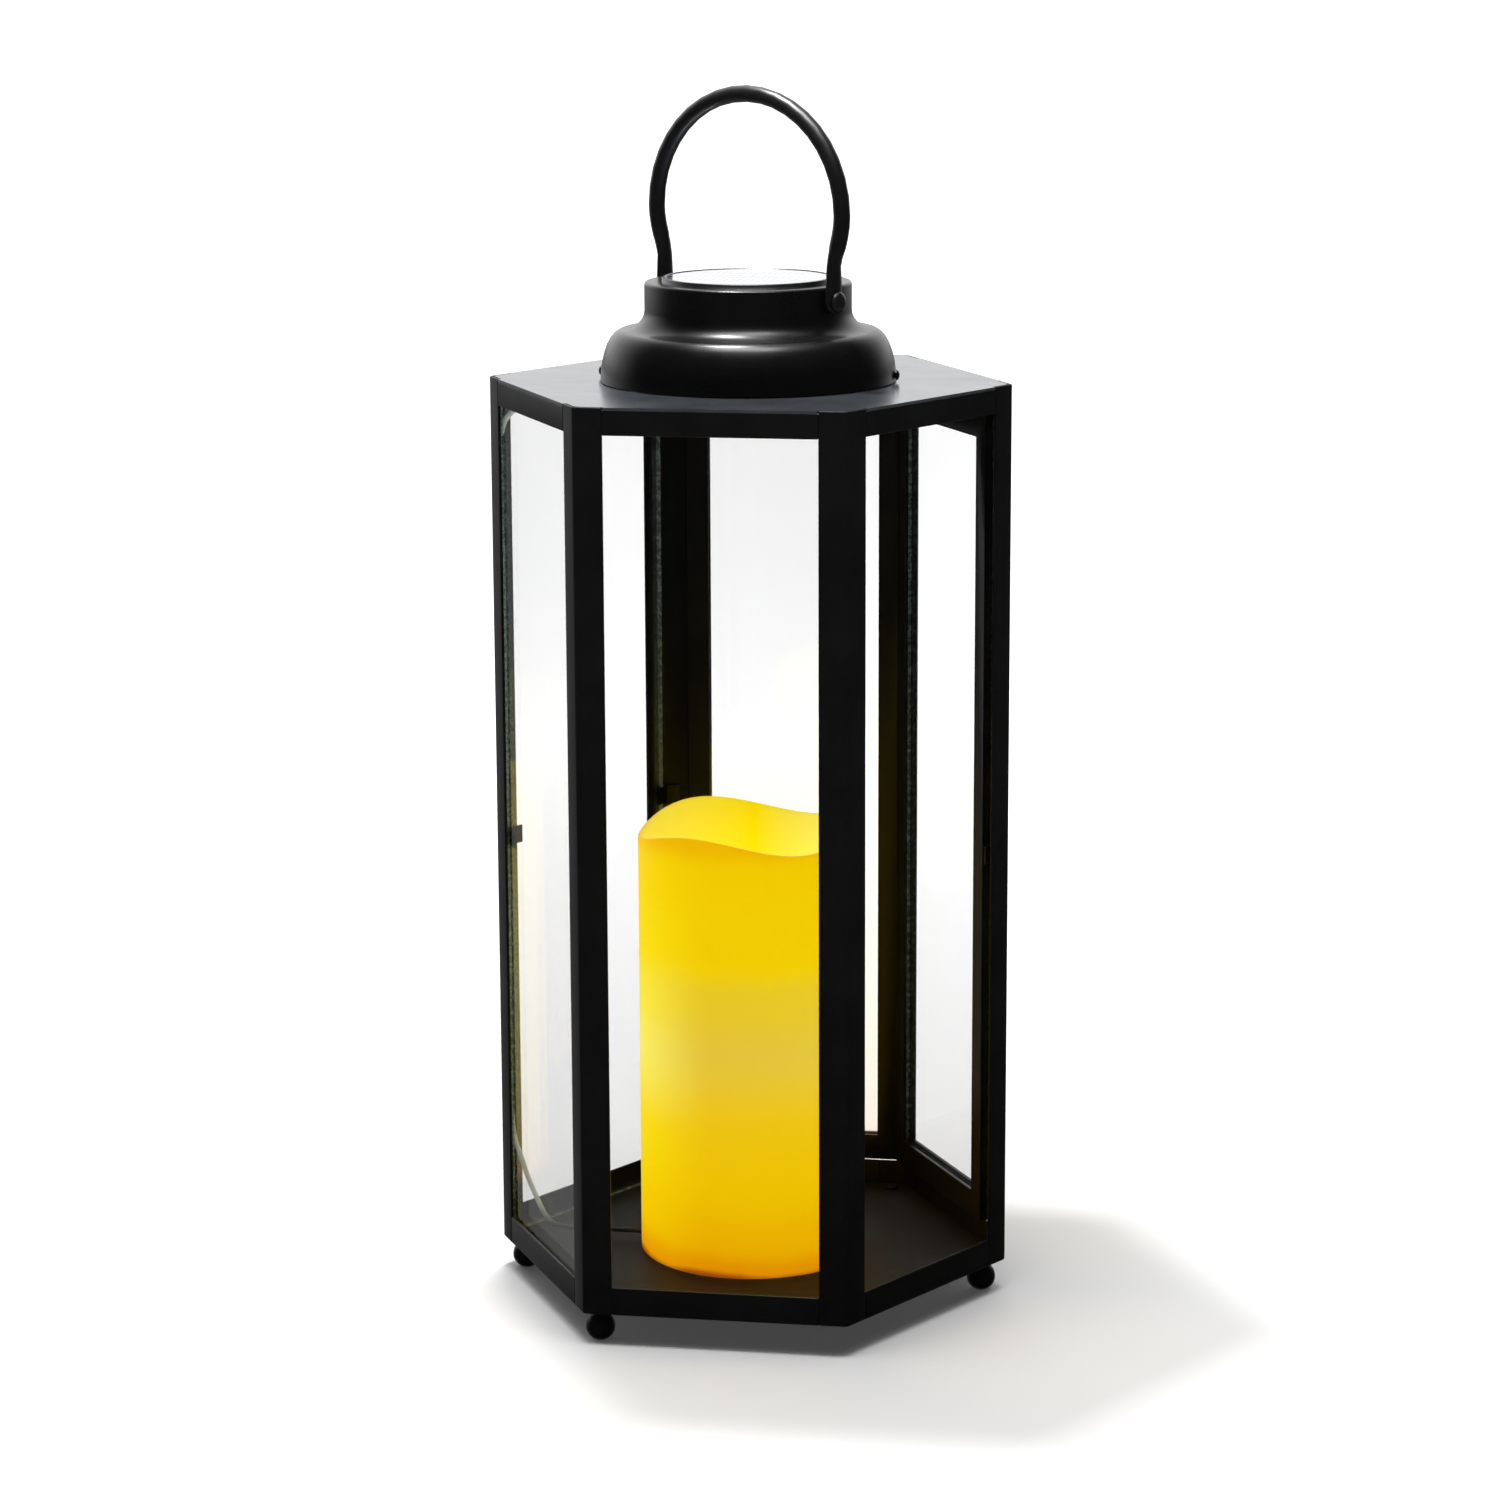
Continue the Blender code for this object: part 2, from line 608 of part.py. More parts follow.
def add_knob(frame, material, pivot):
    """The pull on the outside of the door's right stile."""
    index = CORNERS.index(DOOR_CORNER)
    along = DOOR_REACH - DOOR_STILE * 0.4
    x, y = to_world(index, from_corner(along, DOOR_OUTSIDE, TOWARD_RIGHT))
    angle = side_angle(SIDES.index("right_back"))
    outward = Vector((math.cos(angle), math.sin(angle), 0))
    level = FRAME_BOTTOM + KNOB_LEVEL
    shank = HINGE_PIN_RADIUS
    tail = DOOR_DEPTH / 2
    outline = [(0.0, -tail), (shank, -tail), (shank, GAP), (1.4 * shank, GAP),
               (1.3 * shank, KNOB_LENGTH * 0.45), (KNOB_RADIUS * 0.9, KNOB_LENGTH * 0.6),
               (KNOB_RADIUS, KNOB_LENGTH * 0.78), (KNOB_RADIUS * 0.8, KNOB_LENGTH * 0.95),
               (KNOB_RADIUS * 0.4, KNOB_LENGTH), (0.0, KNOB_LENGTH)]
    knob = add_object("door_knob", turned("door_knob", outline, 16), material, pivot,
                      Vector((x, y, level)) - pivot.location)
    knob.rotation_euler = (0, math.pi / 2, angle)
    bore = cutter_cylinder("knob_bore", shank + GAP, 2 * (tail + GAP), Vector((x, y, level)), outward)
    combine(frame, bore)


# --------------------------------------------------------------------- feet


def add_feet(material, body):
    """Ball feet, each with a stud riveted over on the floor plate."""
    down = -math.degrees(math.acos(FOOT_FLAT_RADIUS / BALL_RADIUS))
    up = math.degrees(math.acos(FOOT_NECK_RADIUS / BALL_RADIUS))
    ball = arc((0, FOOT_BELOW), (BALL_RADIUS, BALL_RADIUS), down, up, 9)
    shoulder = FRAME_BOTTOM - GAP
    head = FLOOR_TOP + GAP
    outline = [(0.0, 0.0)] + ball + [(FOOT_NECK_RADIUS, shoulder), (STUD_RADIUS, shoulder),
                                     (STUD_RADIUS, head), (STUD_HEAD_RADIUS, head),
                                     (STUD_HEAD_RADIUS * 0.8, head + STUD_HEAD_HEIGHT * 0.7),
                                     (STUD_HEAD_RADIUS * 0.3, head + STUD_HEAD_HEIGHT),
                                     (0.0, head + STUD_HEAD_HEIGHT)]
    mesh = turned("ball_foot", outline, 20)
    for name in FOOT_CORNERS:
        x, y = to_world(CORNERS.index(name), (FOOT_INSET, 0))
        add_object("ball_foot_" + name, mesh, material, body, (x, y, 0))


# --------------------------------------------------------------- domed cap


def inner_shoulder_width(height):
    """Distance from the crest out to the dome's inner face at a height."""
    share = height / (DOME_SHOULDER_HEIGHT - SHEET)
    return (DOME_SHOULDER_WIDTH - SHEET) * math.sqrt(1 - share ** 2)


def dome_outline():
    """The dome's section: shoulder, fillet, neck and inward rim."""
    base = FRAME_TOP + GAP
    crest = (CREST_RADIUS, base)
    fillet = (CREST_RADIUS, base + DOME_SHOULDER_HEIGHT + DOME_FILLET_HEIGHT)
    rim_centre = (NECK_RADIUS - RIM_ROUND, RIM_LEVEL - RIM_ROUND)
    outer = arc(crest, (DOME_SHOULDER_WIDTH, DOME_SHOULDER_HEIGHT), 0, 90, 8)
    outer += arc(fillet, (DOME_FILLET_WIDTH, DOME_FILLET_HEIGHT), 270, 180, 6)[1:]
    outer += arc(rim_centre, (RIM_ROUND, RIM_ROUND), 0, 90, 3)
    lip = PANEL_RADIUS + GAP
    under = [(lip, RIM_LEVEL), (lip, RIM_LEVEL - SHEET), (NECK_RADIUS - SHEET, RIM_LEVEL - SHEET)]
    inner = arc(fillet, (DOME_FILLET_WIDTH + SHEET, DOME_FILLET_HEIGHT + SHEET), 180, 270, 5)
    inner += arc(crest, (DOME_SHOULDER_WIDTH - SHEET, DOME_SHOULDER_HEIGHT - SHEET), 90, 0, 7)[1:]
    return outer + under + inner


def add_dome(material, body):
    """The turned cap, with holes for the rivets and the two side screws."""
    dome = add_object("dome_cap", turned("dome_cap", dome_outline(), 56), material, body)
    combine(dome, screw_hole(DOME_RADIUS))
    across = (math.cos(BAIL_TURN), math.sin(BAIL_TURN), 0)
    rivets = cutter_cylinder("rivet_holes", RIVET_RADIUS + GAP, 2 * (NECK_RADIUS + SHEET),
                             (0, 0, PIVOT_LEVEL), across)
    combine(dome, rivets)


def add_dome_screws(material, body):
    """Pan-head screws through the foot of the dome, right and left."""
    seat = DOME_RADIUS + GAP
    head = arc((0.0, 0.0), (DOME_SCREW_HEAD_RADIUS, DOME_SCREW_HEAD_HEIGHT), 0, 90, 4)
    shank = 6 * SHEET
    outline = [(0.0, -shank), (DOME_SCREW_RADIUS, -shank), (DOME_SCREW_RADIUS, 0.0)] + head[:-1]
    outline.append((0.0, DOME_SCREW_HEAD_HEIGHT))
    mesh = turned("dome_screw", outline, 16)
    level = FRAME_TOP + DOME_SCREW_LEVEL
    for name, side in (("right", 1), ("left", -1)):
        screw = add_object("dome_screw_" + name, mesh, material, body, (side * seat, 0, level))
        screw.rotation_euler = (0, side * math.pi / 2, 0)


def add_panel(bezel_material, cell_material, body):
    """The solar panel: a bezel under the rim, the cell and a back cover."""
    top = RIM_LEVEL + PANEL_PROUD
    under_rim = RIM_LEVEL - SHEET - GAP
    bottom = RIM_LEVEL - BEZEL_DEPTH
    seat = PANEL_RADIUS - BEZEL_WALL
    ledge = seat - BEZEL_WALL
    cell_low = top - CELL_THICKNESS - GAP / 2
    ledge_top = cell_low - GAP
    outline = [(PANEL_RADIUS - GAP, top), (PANEL_RADIUS, top - GAP), (PANEL_RADIUS, under_rim),
               (PANEL_RADIUS + BEZEL_FLANGE, under_rim), (PANEL_RADIUS + BEZEL_FLANGE, under_rim - SHEET),
               (PANEL_RADIUS, under_rim - SHEET), (PANEL_RADIUS, bottom), (seat, bottom),
               (seat, ledge_top - BEZEL_WALL), (ledge, ledge_top - BEZEL_WALL), (ledge, ledge_top),
               (seat, ledge_top), (seat, top)]
    add_object("panel_bezel", turned("panel_bezel", outline, 48), bezel_material, body)
    cell = seat - GAP
    cell_outline = [(0.0, cell_low), (cell, cell_low), (cell, top - GAP / 2), (0.0, top - GAP / 2)]
    add_object("solar_cell", turned("solar_cell", cell_outline, 48), cell_material, body)
    back_outline = [(0.0, bottom), (cell, bottom), (cell, bottom + PANEL_BACK_THICKNESS),
                    (0.0, bottom + PANEL_BACK_THICKNESS)]
    add_object("panel_back", turned("panel_back", back_outline, 40), bezel_material, body)


# --------------------------------------------------------------------- bail


def bail_path():
    """Stations along the rod, each with its place, thickness and width.

    Places are across the pivots and up from them. The rod is flattened from
    the eye to a little above the pivot, and round everywhere else.
    """
    spread = PIVOT_REACH + BAIL_BULGE
    thin = EYE_THICKNESS / 2
    half = []
    for share in (-1.0, -0.92, -0.7, -0.35, 0.0, 0.5):
        width = EYE_RADIUS * math.sqrt(1 - min(share, 0.0) ** 2)
        half.append((PIVOT_REACH, share * EYE_RADIUS, thin, max(width, EYE_RADIUS * 0.3)))
    half.append((PIVOT_REACH, EYE_FLAT * 0.45, thin, EYE_RADIUS * 0.97))
    half.append((PIVOT_REACH, EYE_FLAT * 0.8, thin, EYE_RADIUS * 0.9))
    for share in (0.0, 0.2, 0.4, 0.6, 0.8):
        height = EYE_FLAT + (BAIL_SIDE - EYE_FLAT) * share
        ease = math.sin(share * math.pi / 2)
        across = PIVOT_REACH + BAIL_BULGE * ease ** 1.4
        blend = min(1.0, share / 0.4)
        half.append((across, height, thin + (BAIL_ROD_RADIUS - thin) * blend,
                     EYE_RADIUS * 0.85 + (BAIL_ROD_RADIUS - EYE_RADIUS * 0.85) * blend))
    steps = 10
    for step in range(steps):
        angle = math.pi / 2 * step / steps
        half.append((spread * math.cos(angle), BAIL_SIDE + BAIL_ARCH * math.sin(angle),
                     BAIL_ROD_RADIUS, BAIL_ROD_RADIUS))
    apex = [(0.0, BAIL_SIDE + BAIL_ARCH, BAIL_ROD_RADIUS, BAIL_ROD_RADIUS)]
    other = [(-across, height, thick, wide) for across, height, thick, wide in reversed(half)]
    return half + apex + other


def bail_mesh():
    """The rod as rings round its path, in the loop's own plane, XZ."""
    stations = bail_path()
    sides = 12
    work = bmesh.new()
    rings = []
    for index, (across, height, thick, wide) in enumerate(stations):
        before = stations[max(index - 1, 0)]
        after = stations[min(index + 1, len(stations) - 1)]
        run = Vector((after[0] - before[0], 0, after[1] - before[1])).normalized()
        outward = Vector((run.z, 0, -run.x))
        ring = []
        for step in range(sides):
            angle = 2 * math.pi * step / sides
            place = Vector((across, 0, height)) + outward * thick * math.cos(angle)
            place.y += wide * math.sin(angle)
            ring.append(work.verts.new(place))
        rings.append(ring)
    for lower, upper in zip(rings, rings[1:]):
        for step in range(sides):
            after = (step + 1) % sides
            work.faces.new((lower[step], lower[after], upper[after], upper[step]))
    work.faces.new(rings[0])
    work.faces.new(rings[-1])
    return finish_mesh("bail_handle", work, 40)


def add_bail(material, rivet_material, body):
    """The bail on its pivot axis, and the two rivets that it turns on."""
    pivot = add_empty("bail_pivot", (0, 0, PIVOT_LEVEL), BAIL_TURN)
    bail = add_object("bail_handle", bail_mesh(), material, pivot)
    across = (math.cos(BAIL_TURN), math.sin(BAIL_TURN), 0)
    hole = cutter_cylinder("eye_holes", RIVET_RADIUS + GAP, 2 * (PIVOT_REACH + EYE_THICKNESS),
                           (0, 0, PIVOT_LEVEL), across)
    combine(bail, hole)
    seat = EYE_INSIDE + EYE_THICKNESS + GAP
    neck_face = NECK_RADIUS + GAP
    collar = EYE_INSIDE - GAP
    wall_back = math.sqrt((NECK_RADIUS - SHEET) ** 2 - (2 * RIVET_RADIUS) ** 2) - GAP
    tail = wall_back - SHEET
    head = arc((0.0, seat), (RIVET_HEAD_RADIUS, RIVET_HEAD_HEIGHT), 0, 90, 5)
    outline = [(0.0, tail), (1.6 * RIVET_RADIUS, tail), (1.6 * RIVET_RADIUS, wall_back),
               (RIVET_RADIUS, wall_back), (RIVET_RADIUS, neck_face), (1.5 * RIVET_RADIUS, neck_face),
               (1.5 * RIVET_RADIUS, collar), (RIVET_RADIUS, collar), (RIVET_RADIUS, seat)] + head[:-1]
    outline.append((0.0, seat + RIVET_HEAD_HEIGHT))
    mesh = turned("bail_rivet", outline, 16)
    for name, side in (("right", 1), ("left", -1)):
        rivet = add_object("bail_rivet_" + name, mesh, rivet_material, body, (0, 0, PIVOT_LEVEL))
        rivet.rotation_euler = (0, side * math.pi / 2, BAIL_TURN)


# ------------------------------------------------------------------- candle


def candle_rim(angle):
    """Height of the wavy rim above the candle's bottom."""
    return CANDLE_HEIGHT + CANDLE_WAVE * math.cos(CANDLE_LOBES * (angle - CANDLE_WAVE_TURN))


def add_candle_shell(material, body):
    """The candle: a wax tube with a wavy rim that is hollow at the top."""
    inner = CANDLE_RADIUS - CANDLE_WALL
    lip = CANDLE_RADIUS - CANDLE_LIP_WALL
    soft = CANDLE_LIP_WALL / 4

    def below_rim(radius, drop):
        return lambda angle: (radius, CANDLE_BOTTOM + candle_rim(angle) - drop)

    def level(radius, height):
        return lambda angle: (radius, CANDLE_BOTTOM + height)

    middle = lip - (lip - inner) * 0.75
    profile = [level(CANDLE_RADIUS - soft, 0.0), level(CANDLE_RADIUS, soft),
               below_rim(CANDLE_RADIUS, CANDLE_BASIN), below_rim(CANDLE_RADIUS, soft),
               below_rim(CANDLE_RADIUS - soft, 0.0), below_rim(lip + soft, 0.0), below_rim(lip, soft),
               below_rim(middle, CANDLE_BASIN * 0.6), below_rim(inner, CANDLE_BASIN), level(inner, 0.0)]
    mesh = ring_solid("candle_shell", profile, 60, True)
    shell = add_object("candle_shell", mesh, material, body)
    notch_half = LEAD_RADIUS + 2 * GAP
    low = (-CANDLE_RADIUS - CANDLE_WALL, -notch_half, CANDLE_BOTTOM - GAP)
    high = (-CANDLE_RADIUS + 2 * CANDLE_WALL, notch_half, CANDLE_BOTTOM + 6 * LEAD_RADIUS)
    notch = add_object("lead_notch", block("lead_notch", low, high), None)
    combine(shell, hide_cutter(notch))


def add_candle_base(material, body):
    """The round housing in the candle's foot, open below for its battery."""
    solid = [(0.0, CANDLE_BOTTOM), (BASE_RADIUS, CANDLE_BOTTOM), (BASE_RADIUS, BASE_TOP), (0.0, BASE_TOP)]
    base = add_object("candle_base", turned("candle_base", solid, 48), material, body)
    recess = cutter_cylinder("cover_recess", COVER_RADIUS + GAP, 2 * (COVER_THICKNESS + GAP),
                             (0, 0, CANDLE_BOTTOM), (0, 0, 1))
    combine(base, recess)
    bay_half = BATTERY_LENGTH / 2 + BATTERY_ROOM
    bay_side = BATTERY_RADIUS + BATTERY_ROOM
    bay_top = CANDLE_BOTTOM + COVER_THICKNESS + 2 * GAP + 2 * (BATTERY_RADIUS + BATTERY_ROOM)
    bay_mesh = block("battery_bay", (-bay_half, -bay_side, CANDLE_BOTTOM - GAP), (bay_half, bay_side, bay_top))
    combine(base, hide_cutter(add_object("battery_bay", bay_mesh, None)))
    reach = SWITCH_KNOB[0] / 2 + SWITCH_TRAVEL + 2 * GAP
    side = SWITCH_KNOB[1] / 2 + 2 * GAP
    pocket_mesh = block("switch_pocket", (-reach, SWITCH_PLACE - side, CANDLE_BOTTOM - GAP),
                        (reach, SWITCH_PLACE + side, CANDLE_BOTTOM + SWITCH_KNOB[2] + GAP))
    combine(base, hide_cutter(add_object("switch_pocket", pocket_mesh, None)))
    screw_bore = cutter_cylinder("cover_screw_bore", SCREW_RADIUS + GAP, 18 * SHEET,
                                 (0, COVER_SCREW_PLACE, CANDLE_BOTTOM), (0, 0, 1))
    combine(base, screw_bore)


def add_battery_cover(material, screw_material, body):
    """The round battery cover and its countersunk screw."""
    low = CANDLE_BOTTOM
    outline = [(0.0, low), (COVER_RADIUS, low), (COVER_RADIUS, low + COVER_THICKNESS),
               (0.0, low + COVER_THICKNESS)]
    cover = add_object("battery_cover", turned("battery_cover", outline, 40), material, body)
    hole = cutter_cylinder("cover_screw_hole", SCREW_HEAD_RADIUS + GAP, 4 * COVER_THICKNESS,
                           (0, COVER_SCREW_PLACE, low), (0, 0, 1))
    combine(cover, hole)
    head_low = low + COVER_THICKNESS / 4
    head_high = low + COVER_THICKNESS
    tip = low + 8 * SHEET
    screw = [(0.0, head_low), (SCREW_HEAD_RADIUS, head_low), (SCREW_HEAD_RADIUS, head_high),
             (SCREW_RADIUS, head_high), (SCREW_RADIUS, tip), (0.0, tip)]
    add_object("cover_screw", turned("cover_screw", screw, 16), screw_material, body,
               (0, COVER_SCREW_PLACE, 0))


def add_battery(material, body):
    """The rechargeable cell, lying along X in its bay."""
    half = BATTERY_LENGTH / 2
    nub = BATTERY_RADIUS * 0.35
    nub_length = BATTERY_ROOM / 2
    outline = [(0.0, -half), (BATTERY_RADIUS, -half), (BATTERY_RADIUS, half - nub_length),
               (nub, half - nub_length), (nub, half), (0.0, half)]
    level = CANDLE_BOTTOM + COVER_THICKNESS + 2 * GAP + BATTERY_RADIUS + BATTERY_ROOM / 2
    battery = add_object("battery", turned("battery", outline, 20), material, body, (0, 0, level))
    battery.rotation_euler = (0, math.pi / 2, 0)


def add_light(board_material, led_material, body):
    """The circuit board on the housing, and the light on it."""
    board_low = BASE_TOP + GAP
    board_top = board_low + BOARD_THICKNESS
    board = [(0.0, board_low), (BOARD_RADIUS, board_low), (BOARD_RADIUS, board_top), (0.0, board_top)]
    add_object("led_board", turned("led_board", board, 32), board_material, body)
    foot = board_top + GAP
    shoulder = foot + LED_HEIGHT - LED_RADIUS
    dome = arc((0.0, shoulder), (LED_RADIUS, LED_RADIUS), 0, 90, 4)[:-1]
    flange = LED_RADIUS * 1.16
    outline = [(0.0, foot), (flange, foot), (flange, foot + SHEET), (LED_RADIUS, foot + SHEET)] + dome
    outline.append((0.0, foot + LED_HEIGHT))
    add_object("led", turned("led", outline, 16), led_material, body)


def add_switch(material, candle):
    """The power switch's sliding knob, with grip ribs on its face."""
    length, width, height = SWITCH_KNOB
    slide = add_empty("switch_slide", (-SWITCH_TRAVEL / 2, SWITCH_PLACE, CANDLE_BOTTOM))
    low = -PLATE_SHEET / 2
    top = height - GAP
    ribs = []
    for step in range(3):
        start = -length / 2 + length * (0.15 + 0.26 * step)
        ribs += [(start, low + SWITCH_RIB), (start, low), (start + length * 0.15, low),
                 (start + length * 0.15, low + SWITCH_RIB)]
    outline = [(-length / 2, top), (-length / 2, low + SWITCH_RIB)] + ribs
    outline += [(length / 2, low + SWITCH_RIB), (length / 2, top)]
    mesh = prism("switch_knob", outline, -width / 2, width / 2)
    mesh.transform(Matrix.Rotation(math.pi / 2, 4, "X"))
    add_object("switch_knob", mesh, material, slide)


# --------------------------------------------------------------------- lead


def smooth_route(points, spacing):
    """A smooth curve through a list of places, read at an even spacing."""
    route = [Vector(point) for point in points]
    route = [2 * route[0] - route[1]] + route + [2 * route[-1] - route[-2]]
    placed = []
    for first, second, third, fourth in zip(route, route[1:], route[2:], route[3:]):
        count = max(2, round((third - second).length / spacing))
        for step in range(count):
            t = step / count
            placed.append(0.5 * (2 * second + (third - first) * t
                                 + (2 * first - 5 * second + 4 * third - fourth) * t ** 2
                                 + (3 * second - first - 3 * third + fourth) * t ** 3))
    placed.append(route[-2])
    return placed


def add_lead(material, grommet_material, body):
    """The lead: panel, top plate, down the left corner, in to the candle."""
    start = RIM_LEVEL - BEZEL_DEPTH - GAP
    hole = -LEAD_HOLE_PLACE
    under = FRAME_TOP - PLATE_SHEET
    channel = -CORNER_RADIUS + 4 * LEAD_RADIUS
    floor = CANDLE_BOTTOM + 3 * LEAD_RADIUS
    end = -BASE_RADIUS - GAP
    route = [(-0.012, 0, start), (-0.012, 0, start - 0.004), (-0.020, 0, FRAME_TOP + 0.0125),
             (-0.033, 0, FRAME_TOP + 0.0100), (hole, 0, FRAME_TOP + 0.0030), (hole, 0, under - 0.0010),
             (hole - 0.006, 0, under - 0.0085), (hole - 0.020, 0, under - 0.0105),
             (channel + 0.010, 0, under - 0.0085), (channel, 0, under - 0.0190),
             (channel, 0, under - 0.060), (channel, 0, FRAME_BOTTOM + 0.170),
             (channel, 0, FRAME_BOTTOM + 0.100), (channel, 0, FRAME_BOTTOM + 0.045),
             (channel + 0.0035, 0, FRAME_BOTTOM + 0.028), (channel + 0.0080, 0, FRAME_BOTTOM + 0.0155),
             (channel + 0.0130, 0, floor + 0.0022), (channel + 0.0200, 0, floor),
             (end - 0.012, 0, floor), (end - 0.005, 0, floor), (end, 0, floor)]
    points = smooth_route(route, 4.5 * LEAD_RADIUS)
    curve = bpy.data.curves.new("lead", "CURVE")
    curve.dimensions = "3D"
    curve.bevel_depth = LEAD_RADIUS
    curve.bevel_resolution = 2
    curve.use_fill_caps = True
    spline = curve.splines.new("POLY")
    spline.points.add(len(points) - 1)
    for place, point in zip(points, spline.points):
        point.co = (*place, 1.0)
    lead = bpy.data.objects.new("lead", curve)
    bpy.context.scene.collection.objects.link(lead)
    curve.materials.append(material)
    lead.parent = body
    bore = LEAD_RADIUS + 2 * GAP
    wide = GROMMET_RADIUS + GROMMET_FLANGE
    above = FRAME_TOP + GAP
    below = FRAME_TOP - PLATE_SHEET - GAP
    outline = [(bore, above + GROMMET_LIP), (wide, above + GROMMET_LIP), (wide, above),
               (GROMMET_RADIUS, above), (GROMMET_RADIUS, below), (wide, below),
               (wide, below - GROMMET_LIP), (bore, below - GROMMET_LIP)]
    add_object("lead_grommet", turned("lead_grommet", outline, 20), grommet_material, body, (hole, 0, 0))


# ---------------------------------------------------------------- assembly


def build_lantern():
    """Model every piece and put it where it belongs."""
    clear_scene()
    black = make_material("black_powder_coat", (0.012, 0.012, 0.013), 0.42)
    glass = make_material("clear_glass", (0.93, 0.95, 0.94), 0.03, transmission=1.0)
    steel = make_material("zinc_steel", (0.60, 0.60, 0.58), 0.35, metallic=1.0)
    plastic = make_material("black_plastic", (0.020, 0.020, 0.022), 0.50)
    cell = make_material("solar_cell", (0.020, 0.028, 0.060), 0.12)
    wax = make_material("amber_wax", (0.95, 0.55, 0.08), 0.45, glow=0.8)
    ivory = make_material("ivory_plastic", (0.80, 0.76, 0.66), 0.45)
    rubber = make_material("black_rubber", (0.025, 0.025, 0.025), 0.80)
    board = make_material("circuit_board", (0.030, 0.160, 0.060), 0.40)
    lamp = make_material("amber_led", (1.0, 0.72, 0.30), 0.15, glow=3.0)
    sleeve = make_material("battery_sleeve", (0.10, 0.32, 0.16), 0.30)

    frame = add_empty("frame", (0, 0, 0))
    add_posts(black, frame)
    add_rails(black, frame)
    add_top_plate(black, frame)
    add_floor_plate(black, frame)
    add_panes(glass, frame)
    add_clips(black, frame)
    add_door(black, glass, frame)
    add_feet(black, frame)

    cap = add_empty("cap", (0, 0, 0))
    add_dome(black, cap)
    add_dome_screws(black, cap)
    add_panel(plastic, cell, cap)
    add_bail(black, black, cap)

    candle = add_empty("candle", (0, 0, 0))
    add_candle_shell(wax, candle)
    add_candle_base(ivory, candle)
    add_battery_cover(ivory, steel, candle)
    add_battery(sleeve, candle)
    add_light(board, lamp, candle)
    add_switch(plastic, candle)
    add_lead(rubber, rubber, frame)


build_lantern()
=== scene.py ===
"""Solar lantern: materials, finer pieces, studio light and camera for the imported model."""
import bmesh
import bpy
import json
import math
from mathutils import Matrix, Vector


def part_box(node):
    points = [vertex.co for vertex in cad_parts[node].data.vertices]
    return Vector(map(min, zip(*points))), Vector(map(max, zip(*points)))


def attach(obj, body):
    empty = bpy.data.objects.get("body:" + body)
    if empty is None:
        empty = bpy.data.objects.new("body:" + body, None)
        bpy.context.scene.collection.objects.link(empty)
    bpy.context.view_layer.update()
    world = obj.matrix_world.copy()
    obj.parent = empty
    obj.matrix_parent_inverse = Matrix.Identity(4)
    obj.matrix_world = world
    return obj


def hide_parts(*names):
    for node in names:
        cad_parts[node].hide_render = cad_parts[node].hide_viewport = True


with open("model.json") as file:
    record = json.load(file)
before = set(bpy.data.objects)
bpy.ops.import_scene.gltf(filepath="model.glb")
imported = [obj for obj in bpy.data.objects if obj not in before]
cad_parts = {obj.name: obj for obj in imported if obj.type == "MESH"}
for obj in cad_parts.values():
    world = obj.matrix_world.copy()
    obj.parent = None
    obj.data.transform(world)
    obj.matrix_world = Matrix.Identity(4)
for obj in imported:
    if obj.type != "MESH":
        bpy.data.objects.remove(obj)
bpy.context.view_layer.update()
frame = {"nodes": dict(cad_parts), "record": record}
nodes = frame["nodes"]
BODIES = frame["record"]["behaviour"]["bodies"]


def body_of_node(node):
    """The body that a CAD node belongs to."""
    for body, members in BODIES.items():
        if node in members:
            return body
    return "lantern"


# ------------------------------------------------------------------ sizes

SEAM = 0.0003                                    # clearance between the CAD's sheet parts
RADIUS = 0.0885                                  # sharp corner of the hexagon, from the axis
FRAME_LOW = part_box("bottom_rail_front")[0][2]
FRAME_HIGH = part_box("corner_post_left")[1][2]
CANDLE_LOW, CANDLE_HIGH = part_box("candle_shell")
CANDLE_RADIUS = CANDLE_HIGH[0]

# --------------------------------------------------------------- materials


def feed(tree, value, socket):
    """Gives a socket a value, which may be another socket, a colour or a number."""
    if hasattr(value, "links"):
        tree.links.new(value, socket)
    elif isinstance(value, tuple):
        socket.default_value = (*value, 1.0)
    else:
        socket.default_value = value


def new_object(name, mesh):
    """A mesh as an object in the scene."""
    thing = bpy.data.objects.new(name, mesh)
    bpy.context.scene.collection.objects.link(thing)
    return thing


